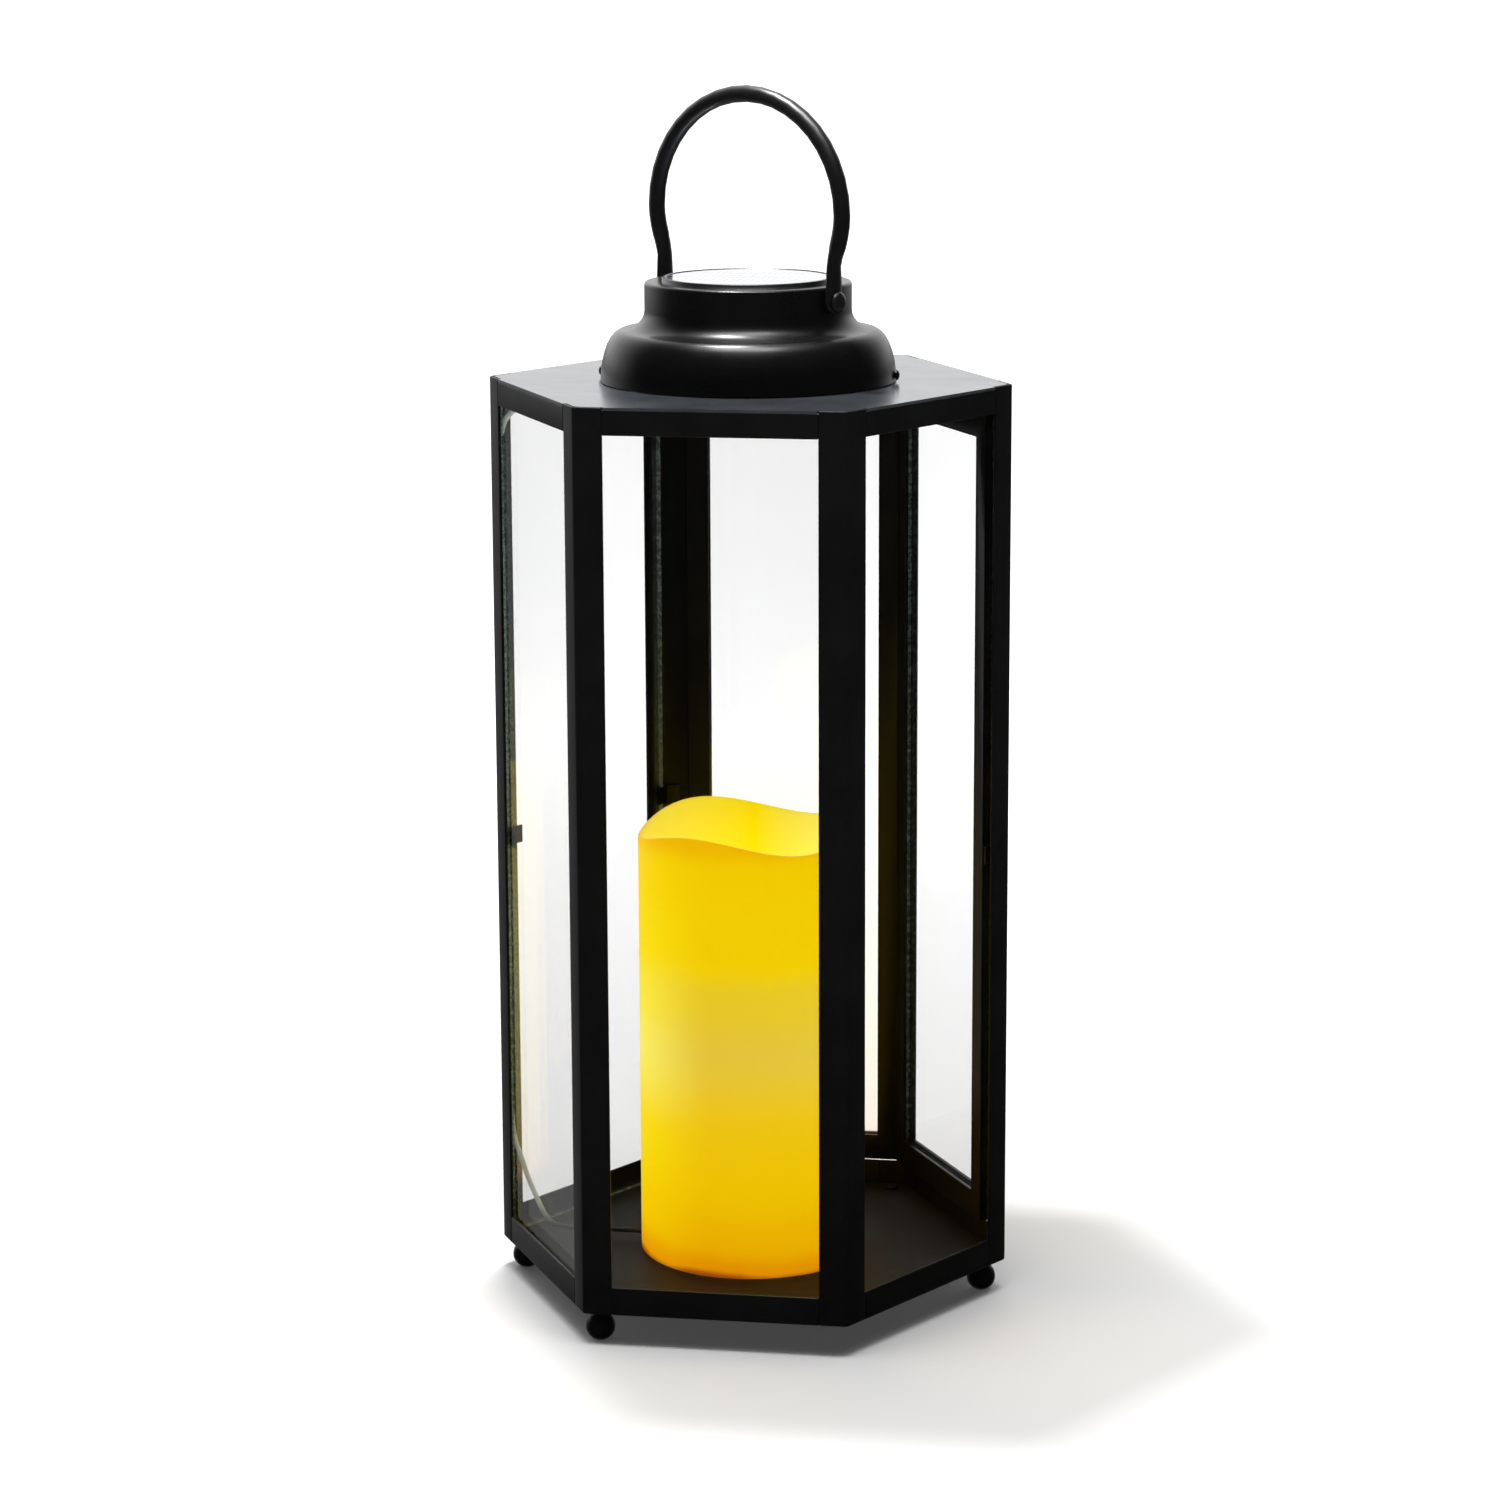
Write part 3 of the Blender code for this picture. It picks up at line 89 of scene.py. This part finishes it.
class Shader:
    """A material's node tree, with short calls for the nodes in it."""

    def __init__(self, name):
        self.material = bpy.data.materials.new(name)
        self.material.use_nodes = True
        self.tree = self.material.node_tree
        self.surface = self.tree.nodes["Principled BSDF"]

    def node(self, kind, **values):
        """A new node; its properties and its input values are given by name."""
        made = self.tree.nodes.new(kind)
        for key, value in values.items():
            if hasattr(made, key):
                setattr(made, key, value)
            else:
                made.inputs[key.replace("_", " ")].default_value = value
        return made

    def link(self, start, end):
        """Joins an output to an input."""
        self.tree.links.new(start, end)
        return start

    def set(self, **values):
        """Constant values on the main shader's own sockets."""
        for key, value in values.items():
            self.surface.inputs[key.replace("_", " ")].default_value = value

    def place(self):
        """The surface point in the object's own metres."""
        return self.node("ShaderNodeTexCoord").outputs["Object"]

    def axes(self):
        """The surface point's X, Y and Z."""
        parts = self.node("ShaderNodeSeparateXYZ")
        self.link(self.place(), parts.inputs["Vector"])
        return parts.outputs["X"], parts.outputs["Y"], parts.outputs["Z"]

    def noise(self, scale, detail=2.0, roughness=0.5):
        """A noise pattern's value."""
        made = self.node("ShaderNodeTexNoise")
        made.inputs["Scale"].default_value = scale
        made.inputs["Detail"].default_value = detail
        made.inputs["Roughness"].default_value = roughness
        self.link(self.place(), made.inputs["Vector"])
        return made.outputs["Fac"]

    def ramp(self, value, *stops, interpolation="LINEAR"):
        """Colours at positions along a value."""
        made = self.node("ShaderNodeValToRGB")
        made.color_ramp.interpolation = interpolation
        points = made.color_ramp.elements
        while len(points) < len(stops):
            points.new(0.5)
        for point, (position, colour) in zip(points, stops):
            point.position = position
            point.color = (*colour, 1.0) if len(colour) == 3 else colour
        self.link(value, made.inputs["Fac"])
        return made.outputs["Color"]

    def spread(self, value, low, high, to_low, to_high):
        """A value's range mapped to another."""
        made = self.node("ShaderNodeMapRange")
        for key, number in (("From Min", low), ("From Max", high), ("To Min", to_low), ("To Max", to_high)):
            made.inputs[key].default_value = number
        self.link(value, made.inputs["Value"])
        return made.outputs["Result"]

    def mix(self, amount, first, second):
        """Two colours mixed by an amount, which may be a socket or a number."""
        made = self.node("ShaderNodeMix", data_type="RGBA")
        for socket, value in zip((made.inputs[0], made.inputs[6], made.inputs[7]), (amount, first, second)):
            feed(self.tree, value, socket)
        return made.outputs[2]

    def math(self, operation, first, second=0.0):
        """A sum on one or two values."""
        made = self.node("ShaderNodeMath", operation=operation)
        for socket, value in zip(made.inputs, (first, second)):
            feed(self.tree, value, socket)
        return made.outputs[0]

    def bump(self, height, strength, distance):
        """Relief on the main shader's normal."""
        made = self.node("ShaderNodeBump")
        made.inputs["Strength"].default_value = strength
        made.inputs["Distance"].default_value = distance
        self.link(height, made.inputs["Height"])
        self.link(made.outputs["Normal"], self.surface.inputs["Normal"])

    def to(self, value, socket):
        """Joins a value to one of the main shader's inputs."""
        self.link(value, self.surface.inputs[socket])


def powder_coat(name, shade=0.005, rough=(0.30, 0.40), gloss=0.2, grain=0.00003, tint=(1.0, 1.0, 1.02)):
    """Black powder coat: a fine orange-peel surface with rubbed, slightly paler patches."""
    shader = Shader(name)
    cloud = shader.noise(38.0, 3.0, 0.6)
    peel = shader.noise(1500.0, 2.0, 0.55)
    speck = shader.noise(5200.0, 1.0)
    shader.to(shader.ramp(cloud, (0.3, tuple(shade * part for part in tint)),
                          (0.75, tuple(shade * 1.5 * part for part in tint))), "Base Color")
    shader.to(shader.spread(cloud, 0.3, 0.7, *rough), "Roughness")
    shader.set(Specular_IOR_Level=gloss, IOR=1.5)
    both = shader.math("ADD", peel, shader.math("MULTIPLY", speck, 0.35))
    shader.bump(both, 0.35, grain)
    return shader.material


def plain_metal(name, colour, rough):
    """Zinc-plated or bright metal with fine brushing."""
    shader = Shader(name)
    streak = shader.noise(900.0, 4.0, 0.6)
    shader.to(shader.ramp(streak, (0.3, tuple(c * 0.75 for c in colour)), (0.7, colour)), "Base Color")
    shader.to(shader.spread(streak, 0.2, 0.8, rough * 0.8, rough * 1.3), "Roughness")
    shader.set(Metallic=1.0)
    shader.bump(streak, 0.2, 0.00003)
    return shader.material


def clear_glass(name):
    """A clear pane's faces: see-through, with a mirror gloss that grows toward grazing, and a faint mirror
    film, strongest face-on and fading as the pane turns away, painted shade that greys what is seen through
    the pane.
    """
    shader = Shader(name)
    haze = shader.noise(9.0, 3.0, 0.55)
    shader.to(shader.ramp(haze, (0.25, (0.88, 0.93, 0.94)), (0.8, (0.96, 0.98, 0.98))), "Base Color")
    shader.to(shader.spread(haze, 0.35, 0.8, 0.0, 0.03), "Roughness")
    tilt = shader.node("ShaderNodeLayerWeight").outputs["Facing"]
    gloss = shader.spread(shader.math("POWER", tilt, 5.0), 0.0, 1.0, 0.04, 1.0)
    # painted shade: a mirror film strongest face-on, fading with tilt
    painted_shade_film = shader.math("MULTIPLY", shader.spread(haze, 0.3, 0.8, 0.088, 0.098),
                       shader.spread(tilt, 0.0, 0.65, 1.0, 0.0))
    shader.to(shader.math("ADD", gloss, painted_shade_film), "Alpha")
    shader.set(Metallic=1.0)
    return shader.material


def glass_edge(name):
    """A pane's cut edge: ground, blue-green and half clear."""
    shader = Shader(name)
    grind = shader.noise(700.0, 3.0, 0.6)
    shader.to(shader.ramp(grind, (0.3, (0.16, 0.24, 0.25)), (0.75, (0.36, 0.47, 0.48))), "Base Color")
    shader.to(shader.spread(grind, 0.2, 0.8, 0.18, 0.35), "Roughness")
    shader.set(IOR=1.5, Transmission_Weight=0.35)
    shader.bump(grind, 0.2, 0.00004)
    return shader.material


def candle_wax(name, low, high):
    """Amber wax with its inner light's spread painted into its colour and glow: brighter and yellower where
    the light sits and on the left, orange at both ends, and the hollow's inside painted paler towards the
    right.
    """
    shader = Shader(name)
    x, y, z = shader.axes()
    level = shader.spread(z, low, high, 0.0, 1.0)
    across = shader.spread(x, -CANDLE_RADIUS, CANDLE_RADIUS, 0.0, 1.0)
    cloud = shader.noise(26.0, 3.0, 0.55)
    wander = shader.math("ADD", level, shader.math("MULTIPLY", shader.math("SUBTRACT", cloud, 0.5), 0.05))
    # painted light along the height: dark at the foot, brightest where the inner light sits, orange at the
    # top
    painted_glow_dim = shader.ramp(wander, (0.0, (0.36, 0.065, 0.0)), (0.018, (0.84, 0.30, 0.0)),
                         (0.07, (0.90, 0.44, 0.0)), (0.20, (0.90, 0.54, 0.0)), (0.36, (0.86, 0.54, 0.004)),
                         (0.52, (0.77, 0.52, 0.03)), (0.64, (0.80, 0.55, 0.015)), (0.72, (0.90, 0.60, 0.0)),
                         (0.93, (0.92, 0.60, 0.0)), (0.99, (0.90, 0.48, 0.0)), interpolation="EASE")
    painted_glow_bright = shader.ramp(wander, (0.0, (0.45, 0.10, 0.0)), (0.018, (0.92, 0.40, 0.0)),
                        (0.10, (1.0, 0.64, 0.0)), (0.30, (1.0, 0.74, 0.0)), (0.50, (0.98, 0.86, 0.12)),
                        (0.62, (1.0, 0.82, 0.05)), (0.74, (1.0, 0.76, 0.0)), (0.93, (1.0, 0.70, 0.0)),
                        (0.99, (0.92, 0.52, 0.0)), interpolation="EASE")
    # painted light: the left side of the wax is made brighter and yellower than the right
    painted_left_light = shader.ramp(across, (0.0, (1.0, 1.0, 1.0)), (0.42, (0.12, 0.12, 0.12)), (0.9, (0.2, 0.2, 0.2)),
                       interpolation="EASE")
    flat = shader.node("ShaderNodeCombineXYZ")
    shader.link(x, flat.inputs["X"])
    shader.link(y, flat.inputs["Y"])
    reach = shader.node("ShaderNodeVectorMath", operation="LENGTH")
    shader.link(flat.outputs["Vector"], reach.inputs[0])
    inner = shader.spread(reach.outputs["Value"], CANDLE_RADIUS * 0.955, CANDLE_RADIUS * 0.985, 1.0, 0.0)
    # painted light: the inside of the hollow top is made paler and yellower towards the right
    painted_hollow_glow = shader.ramp(across, (0.0, (0.93, 0.74, 0.06)), (0.45, (0.95, 0.72, 0.0)),
                         (0.8, (0.96, 0.83, 0.13)))
    body = shader.mix(inner, shader.mix(painted_left_light, painted_glow_dim, painted_glow_bright), painted_hollow_glow)
    shader.to(shader.mix(0.72, body, (0.0, 0.0, 0.0)), "Base Color")
    shader.to(body, "Emission Color")
    shader.set(Emission_Strength=1.12, Specular_IOR_Level=0.08, IOR=1.44)
    shader.to(shader.spread(cloud, 0.3, 0.7, 0.42, 0.55), "Roughness")
    fine = shader.noise(240.0, 3.0, 0.6)
    shader.bump(shader.math("ADD", fine, shader.math("MULTIPLY", cloud, 1.5)), 0.25, 0.0003)
    return shader.material


def plastic(name, colour, rough):
    """Moulded plastic or rubber with a faint mottle."""
    shader = Shader(name)
    mottle = shader.noise(600.0, 2.0, 0.5)
    shader.to(shader.ramp(mottle, (0.3, tuple(c * 0.88 for c in colour)), (0.7, colour)), "Base Color")
    shader.to(shader.spread(mottle, 0.3, 0.7, rough * 0.9, rough * 1.1), "Roughness")
    shader.bump(mottle, 0.15, 0.00004)
    return shader.material


def lead_painted_shade_and_glow(name, painted_shade_below):
    """A clear sleeve over a pale lead, painted black as shade near the floor plate, with a faint painted
    glow of its own.
    """
    shader = Shader(name)
    level = shader.spread(shader.axes()[2], painted_shade_below - 0.004, painted_shade_below + 0.004, 0.0, 1.0)
    twist = shader.noise(420.0, 2.0, 0.5)
    pale = shader.ramp(twist, (0.3, (0.42, 0.49, 0.46)), (0.7, (0.52, 0.58, 0.55)))
    # painted shade: black below the level near the floor plate
    tone = shader.mix(level, (0.01, 0.01, 0.01), pale)
    shader.to(tone, "Base Color")
    shader.to(tone, "Emission Color")
    # the emission is a painted glow; the lead is no lamp
    shader.set(Emission_Strength=0.35, Roughness=0.3, IOR=1.45)
    return shader.material


def solar_surface(name):
    """Dark blue cells with fine silver fingers and two wide bars, under clear resin."""
    shader = Shader(name)
    x, y = shader.axes()[:2]
    crystal = shader.node("ShaderNodeTexVoronoi", feature="F1")
    crystal.inputs["Scale"].default_value = 260.0
    shader.link(shader.place(), crystal.inputs["Vector"])
    tone = shader.ramp(crystal.outputs["Distance"], (0.0, (0.012, 0.018, 0.055)), (0.8, (0.02, 0.032, 0.10)))
    fingers = shader.math("LESS_THAN", shader.math("PINGPONG", x, 0.0011), 0.00012)
    bars = shader.math("LESS_THAN", shader.math("PINGPONG", shader.math("ADD", y, 0.0065), 0.0065), 0.0005)
    gap = shader.math("LESS_THAN", shader.math("PINGPONG", y, 0.013), 0.0003)
    lines = shader.math("MINIMUM", shader.math("ADD", shader.math("MULTIPLY", fingers, 0.6), bars), 1.0)
    colour = shader.mix(lines, tone, (0.42, 0.44, 0.48))
    shader.to(shader.mix(gap, colour, (0.25, 0.26, 0.28)), "Base Color")
    shader.set(Roughness=0.28, Coat_Weight=1.0, Coat_Roughness=0.03, Coat_IOR=2.0, IOR=1.5)
    return shader.material


def board_surface(name):
    """Green circuit board with paler traces."""
    shader = Shader(name)
    traces = shader.node("ShaderNodeTexVoronoi", feature="DISTANCE_TO_EDGE")
    traces.inputs["Scale"].default_value = 240.0
    shader.link(shader.place(), traces.inputs["Vector"])
    tone = shader.ramp(traces.outputs["Distance"], (0.02, (0.10, 0.36, 0.16)), (0.06, (0.02, 0.16, 0.07)))
    shader.to(tone, "Base Color")
    shader.set(Roughness=0.35)
    return shader.material


def glowing_lens(name):
    """The warm white light source."""
    shader = Shader(name)
    cloud = shader.noise(300.0)
    tone = shader.ramp(cloud, (0.3, (1.0, 0.72, 0.34)), (0.7, (1.0, 0.82, 0.5)))
    shader.to(tone, "Base Color")
    shader.to(tone, "Emission Color")
    shader.set(Emission_Strength=4.0, Roughness=0.2)
    return shader.material


black = powder_coat("powder_coat", 0.005, gloss=0.17)
# The top plate: the frame's black coat with a paler, bluish base colour, a painted reflection.
painted_sheen_top_coat = powder_coat("powder_coat_top_painted_sheen", 0.036, (0.18, 0.24), 1.0, 0.000008, (0.90, 1.0, 1.18))
# The floor plate: the frame's black coat with a paler base colour, painted light.
painted_light_floor_coat = powder_coat("powder_coat_floor_painted_light", 0.015, (0.50, 0.60), 0.12)
black_dome = powder_coat("powder_coat_cap", 0.004, (0.24, 0.32), 0.45, 0.00002)
black_rod = powder_coat("powder_coat_rod", 0.006, (0.30, 0.38), 0.9, 0.00001)
steel = plain_metal("zinc", (0.42, 0.42, 0.43), 0.35)
dark_steel = plain_metal("blackened_steel", (0.05, 0.05, 0.052), 0.4)
glass = clear_glass("pane_glass")
edge = glass_edge("pane_edge")
wax = candle_wax("amber_wax", CANDLE_LOW[2], CANDLE_HIGH[2])
ivory = plastic("ivory_plastic", (0.80, 0.62, 0.30), 0.45)
black_plastic = plastic("black_plastic", (0.02, 0.02, 0.02), 0.5)
green_sleeve = plastic("battery_sleeve", (0.05, 0.30, 0.12), 0.35)
rubber = plastic("black_rubber", (0.02, 0.02, 0.02), 0.65)
grey_sleeve = lead_painted_shade_and_glow("lead_painted_shade_and_glow", FRAME_LOW + 0.009)
cells = solar_surface("solar_cells")
board = board_surface("circuit_board")
lens = glowing_lens("warm_lens")

FINISH = {
    "corner_": black, "top_": black, "bottom_": black, "top_plate": painted_sheen_top_coat,
    "floor_plate": painted_light_floor_coat, "door_": black, "ball_foot": black,
    "dome_cap": black_dome, "bail_": black_rod, "panel_bezel": black_rod, "dome_screw": black_dome,
    "cover_screw": steel, "glass_clip": dark_steel, "glass_pane": glass, "solar_cell": cells,
    "candle_shell": wax, "candle_base": ivory, "battery": green_sleeve, "battery_cover": ivory,
    "panel_back": black_plastic, "switch_knob": black_plastic, "led": lens, "led_board": board,
    "lead": grey_sleeve, "lead_grommet": rubber,
}


def finish_of(node):
    """The material whose key is the longest match for a node's name."""
    keys = [key for key in FINISH if node.startswith(key)]
    return FINISH[max(keys, key=len)]


# ------------------------------------------------------------- finer pieces


WELD = 0.00001                                   # points nearer than this are one
FLAT_ANGLE = math.radians(0.5)
RAIL_END = 0.030                                 # beyond this from its middle, a rail's end
TOP_BAND = 0.003                                 # depth of the rails' upper edge
PLATE_EDGE = 0.070                               # from the axis, inside the floor plate's edge
PLATE_REACH = 0.0753                             # floor plate's flat sides, from the axis


def clean_copy(node, name, whole=True):
    """A CAD node's mesh in a new piece, with its points welded and, if asked, flat areas made whole."""
    mesh = nodes[node].data.copy()
    form = bmesh.new()
    form.from_mesh(mesh)
    bmesh.ops.remove_doubles(form, verts=form.verts, dist=WELD)
    if whole:
        bmesh.ops.dissolve_limit(form, angle_limit=FLAT_ANGLE, verts=form.verts, edges=form.edges)
    form.to_mesh(mesh)
    form.free()
    mesh.materials.clear()
    piece = new_object(name, mesh)
    piece.matrix_world = nodes[node].matrix_world.copy()
    return piece


def smooth(piece, degrees=35):
    """Smooth shading, except over edges sharper than an angle."""
    for face in piece.data.polygons:
        face.use_smooth = True
    piece.data.set_sharp_from_angle(angle=math.radians(degrees))


def close_seams(mesh, normal_angle):
    """Moves a rail's ends and its plate-side edge by the CAD's clearance, so that no light comes through."""
    along = Vector((-math.sin(normal_angle), math.cos(normal_angle), 0))
    for point in mesh.vertices:
        reach = point.co.dot(along)
        if abs(reach) > RAIL_END:
            point.co += along * math.copysign(SEAM, reach)
        if point.co.z > FRAME_HIGH - TOP_BAND:
            point.co.z += SEAM


def detail(piece, node, material):
    """Gives a finer piece its material and puts it in the CAD node's place."""
    piece.data.materials.append(material)
    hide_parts(node)
    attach(piece, body_of_node(node))
    return piece


def bevelled(node, width, material):
    """A CAD node again, with its edges rounded."""
    piece = clean_copy(node, node + "_detail")
    if "_rail_" in node:
        low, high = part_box(node)
        close_seams(piece.data, math.atan2(low[1] + high[1], low[0] + high[0]))
    rounder = piece.modifiers.new("edges", "BEVEL")
    rounder.width = width
    rounder.segments = 3
    rounder.limit_method = "ANGLE"
    rounder.angle_limit = math.radians(30)
    rounder.harden_normals = True
    smooth(piece, 50)
    return detail(piece, node, material)


def rounded(node, material):
    """A turned or bent CAD node again, welded so that it shades smoothly."""
    piece = clean_copy(node, node + "_detail", whole=False)
    smooth(piece, 32)
    return detail(piece, node, material)


BEVELS = {"corner_": 0.00025, "top_rail": 0.00025, "bottom_rail": 0.00025, "door_frame": 0.0004,
          "floor_plate": 0.00015}
ROUND = ("ball_foot", "dome_cap", "bail_", "panel_bezel", "candle_shell", "candle_base", "lead", "door_knob",
         "door_hinge", "dome_screw", "cover_screw", "switch_knob", "led", "battery")

for node, thing in nodes.items():
    material = finish_of(node)
    thing.data.materials.clear()
    thing.data.materials.append(material)
    smooth(thing)

for node in list(nodes):
    if node.startswith("glass_pane"):
        mesh = nodes[node].data
        mesh.materials.append(edge)
        widest = max(face.area for face in mesh.polygons)
        for face in mesh.polygons:
            face.material_index = 0 if face.area > widest * 0.5 else 1
            face.use_smooth = False
    elif node.startswith(tuple(BEVELS)):
        width = next(size for start, size in BEVELS.items() if node.startswith(start))
        piece = bevelled(node, width, finish_of(node))
        if node == "floor_plate":
            for point in piece.data.vertices:
                if point.co.xy.length > PLATE_EDGE:
                    point.co.xy *= 1.0 + SEAM / PLATE_REACH
    elif node.startswith(ROUND) and node != "led_board":
        rounded(node, finish_of(node))

# ------------------------------------------------------------------- stage

DARK_SIDE = 0.01                                 # the studio on the camera's side
BACK_WALL = 1.28
CEILING = 1.6


def stage_plane(name, size, level, material):
    """A level square under the object."""
    mesh = bpy.data.meshes.new(name)
    half = size / 2
    corners = [(-half, -half, level), (half, -half, level), (half, half, level), (-half, half, level)]
    mesh.from_pydata(corners, [], [(0, 1, 2, 3)])
    plane = new_object(name, mesh)
    plane.data.materials.append(material)
    return plane


floor_shader = Shader("white_floor")
place = floor_shader.place()
reach = floor_shader.node("ShaderNodeVectorMath", operation="LENGTH")
floor_shader.link(place, reach.inputs[0])
floor_tone = floor_shader.ramp(floor_shader.noise(3.0), (0.3, (0.93, 0.93, 0.93)), (0.7, (0.95, 0.95, 0.95)))
floor_shader.to(floor_tone, "Base Color")
# Painted light: the floor glows, faintly near the object and almost white far from it, so the far floor
# stays white while the near floor keeps the lamps' shadow.
floor_shader.to(floor_shader.spread(reach.outputs["Value"], 0.22, 0.9, 0.05, 0.95), "Emission Strength")
floor_shader.set(Emission_Color=(1.0, 1.0, 1.0, 1.0), Roughness=0.8, Specular_IOR_Level=0.0)
floor = stage_plane("floor", 80.0, 0.0, floor_shader.material)
floor.visible_glossy = False

world = bpy.data.worlds.new("studio")
bpy.context.scene.world = world
world.use_nodes = True
sky = world.node_tree.nodes["Background"]
sky.inputs["Color"].default_value = (1.0, 1.0, 1.0, 1.0)
direction = world.node_tree.nodes.new("ShaderNodeTexCoord").outputs["Generated"]


def world_value(operation, first, second=0.0):
    """A sum in the studio's own nodes."""
    made = world.node_tree.nodes.new("ShaderNodeMath")
    made.operation = operation
    for socket, value in zip(made.inputs, (first, second)):
        feed(world.node_tree, value, socket)
    return made.outputs[0]


def world_range(value, low, high, to_low, to_high):
    """A range of a direction's component mapped to a brightness."""
    made = world.node_tree.nodes.new("ShaderNodeMapRange")
    made.interpolation_type = "SMOOTHSTEP"
    for key, number in (("From Min", low), ("From Max", high), ("To Min", to_low), ("To Max", to_high)):
        made.inputs[key].default_value = number
    world.node_tree.links.new(value, made.inputs["Value"])
    return made.outputs["Result"]


split = world.node_tree.nodes.new("ShaderNodeSeparateXYZ")
world.node_tree.links.new(direction, split.inputs["Vector"])
toward_wall = world_value("ADD", world_value("MULTIPLY", split.outputs["Y"], 0.95),
                          world_value("MULTIPLY", split.outputs["X"], -0.31))
wall = world_range(toward_wall, 0.3, 0.95, DARK_SIDE, BACK_WALL)
behind = world_value("MULTIPLY", wall, world_range(split.outputs["Z"], -0.1, 0.1, 0.2, 1.0))
above = world_range(split.outputs["Z"], 0.80, 1.0, 0.0, CEILING)
studio = world_value("ADD", behind, above)
seen = world.node_tree.nodes.new("ShaderNodeLightPath").outputs["Is Camera Ray"]
lit_side = world_value("MULTIPLY", studio, world_value("SUBTRACT", 1.0, seen))
world.node_tree.links.new(world_value("ADD", lit_side, world_value("MULTIPLY", seen, BACK_WALL)),
                          sky.inputs["Strength"])


def soft_light(name, place, target, size, power, colour=(1.0, 1.0, 1.0)):
    """A square soft light that faces a point."""
    lamp = bpy.data.lights.new(name, "AREA")
    lamp.shape = "RECTANGLE"
    lamp.size, lamp.size_y = size
    lamp.energy = power
    lamp.color = colour
    thing = bpy.data.objects.new(name, lamp)
    bpy.context.scene.collection.objects.link(thing)
    thing.location = place
    thing.rotation_euler = (Vector(target) - Vector(place)).to_track_quat("-Z", "Y").to_euler()
    return thing


soft_light("key", (-0.092, 0.055, 0.874), (0, 0, 0.15), (0.055, 0.055), 3.6)
soft_light("overhead", (0.0, -0.25, 1.9), (0, 0, 0.3), (0.9, 0.5), 15.0)

glow = bpy.data.lights.new("candle_glow", "POINT")
glow.energy = 0.19
glow.color = (1.0, 0.78, 0.42)
glow.shadow_soft_size = 0.012
glow_place = bpy.data.objects.new("candle_glow", glow)
bpy.context.scene.collection.objects.link(glow_place)
glow_place.location = (0, 0, CANDLE_LOW[2] + 0.075)

# ------------------------------------------------------------------- camera

AZIMUTH = math.radians(9.316)
ELEVATION = math.radians(12.024)
ROLL = math.radians(-0.244)
DISTANCE = 16.31 * RADIUS
TARGET = Vector((0, 0, FRAME_LOW + 1.9984 * RADIUS))
back = Vector((math.sin(AZIMUTH) * math.cos(ELEVATION), -math.cos(AZIMUTH) * math.cos(ELEVATION),
               math.sin(ELEVATION)))
right = (-back).cross(Vector((0, 0, 1))).normalized()
up = right.cross(-back)
rolled_right = right * math.cos(ROLL) + up * math.sin(ROLL)
rolled_up = up * math.cos(ROLL) - right * math.sin(ROLL)
bpy.context.scene.view_settings.view_transform = "Standard"
camera_data = bpy.data.cameras.new("camera")
camera_data.lens = 102.03
camera_data.sensor_width = 36.0
camera_data.clip_end = 50.0
camera = bpy.data.objects.new("camera", camera_data)
bpy.context.scene.collection.objects.link(camera)
turn = Matrix((rolled_right, rolled_up, back)).transposed()
camera.matrix_world = Matrix.Translation(TARGET + back * DISTANCE) @ turn.to_4x4()
bpy.context.scene.camera = camera
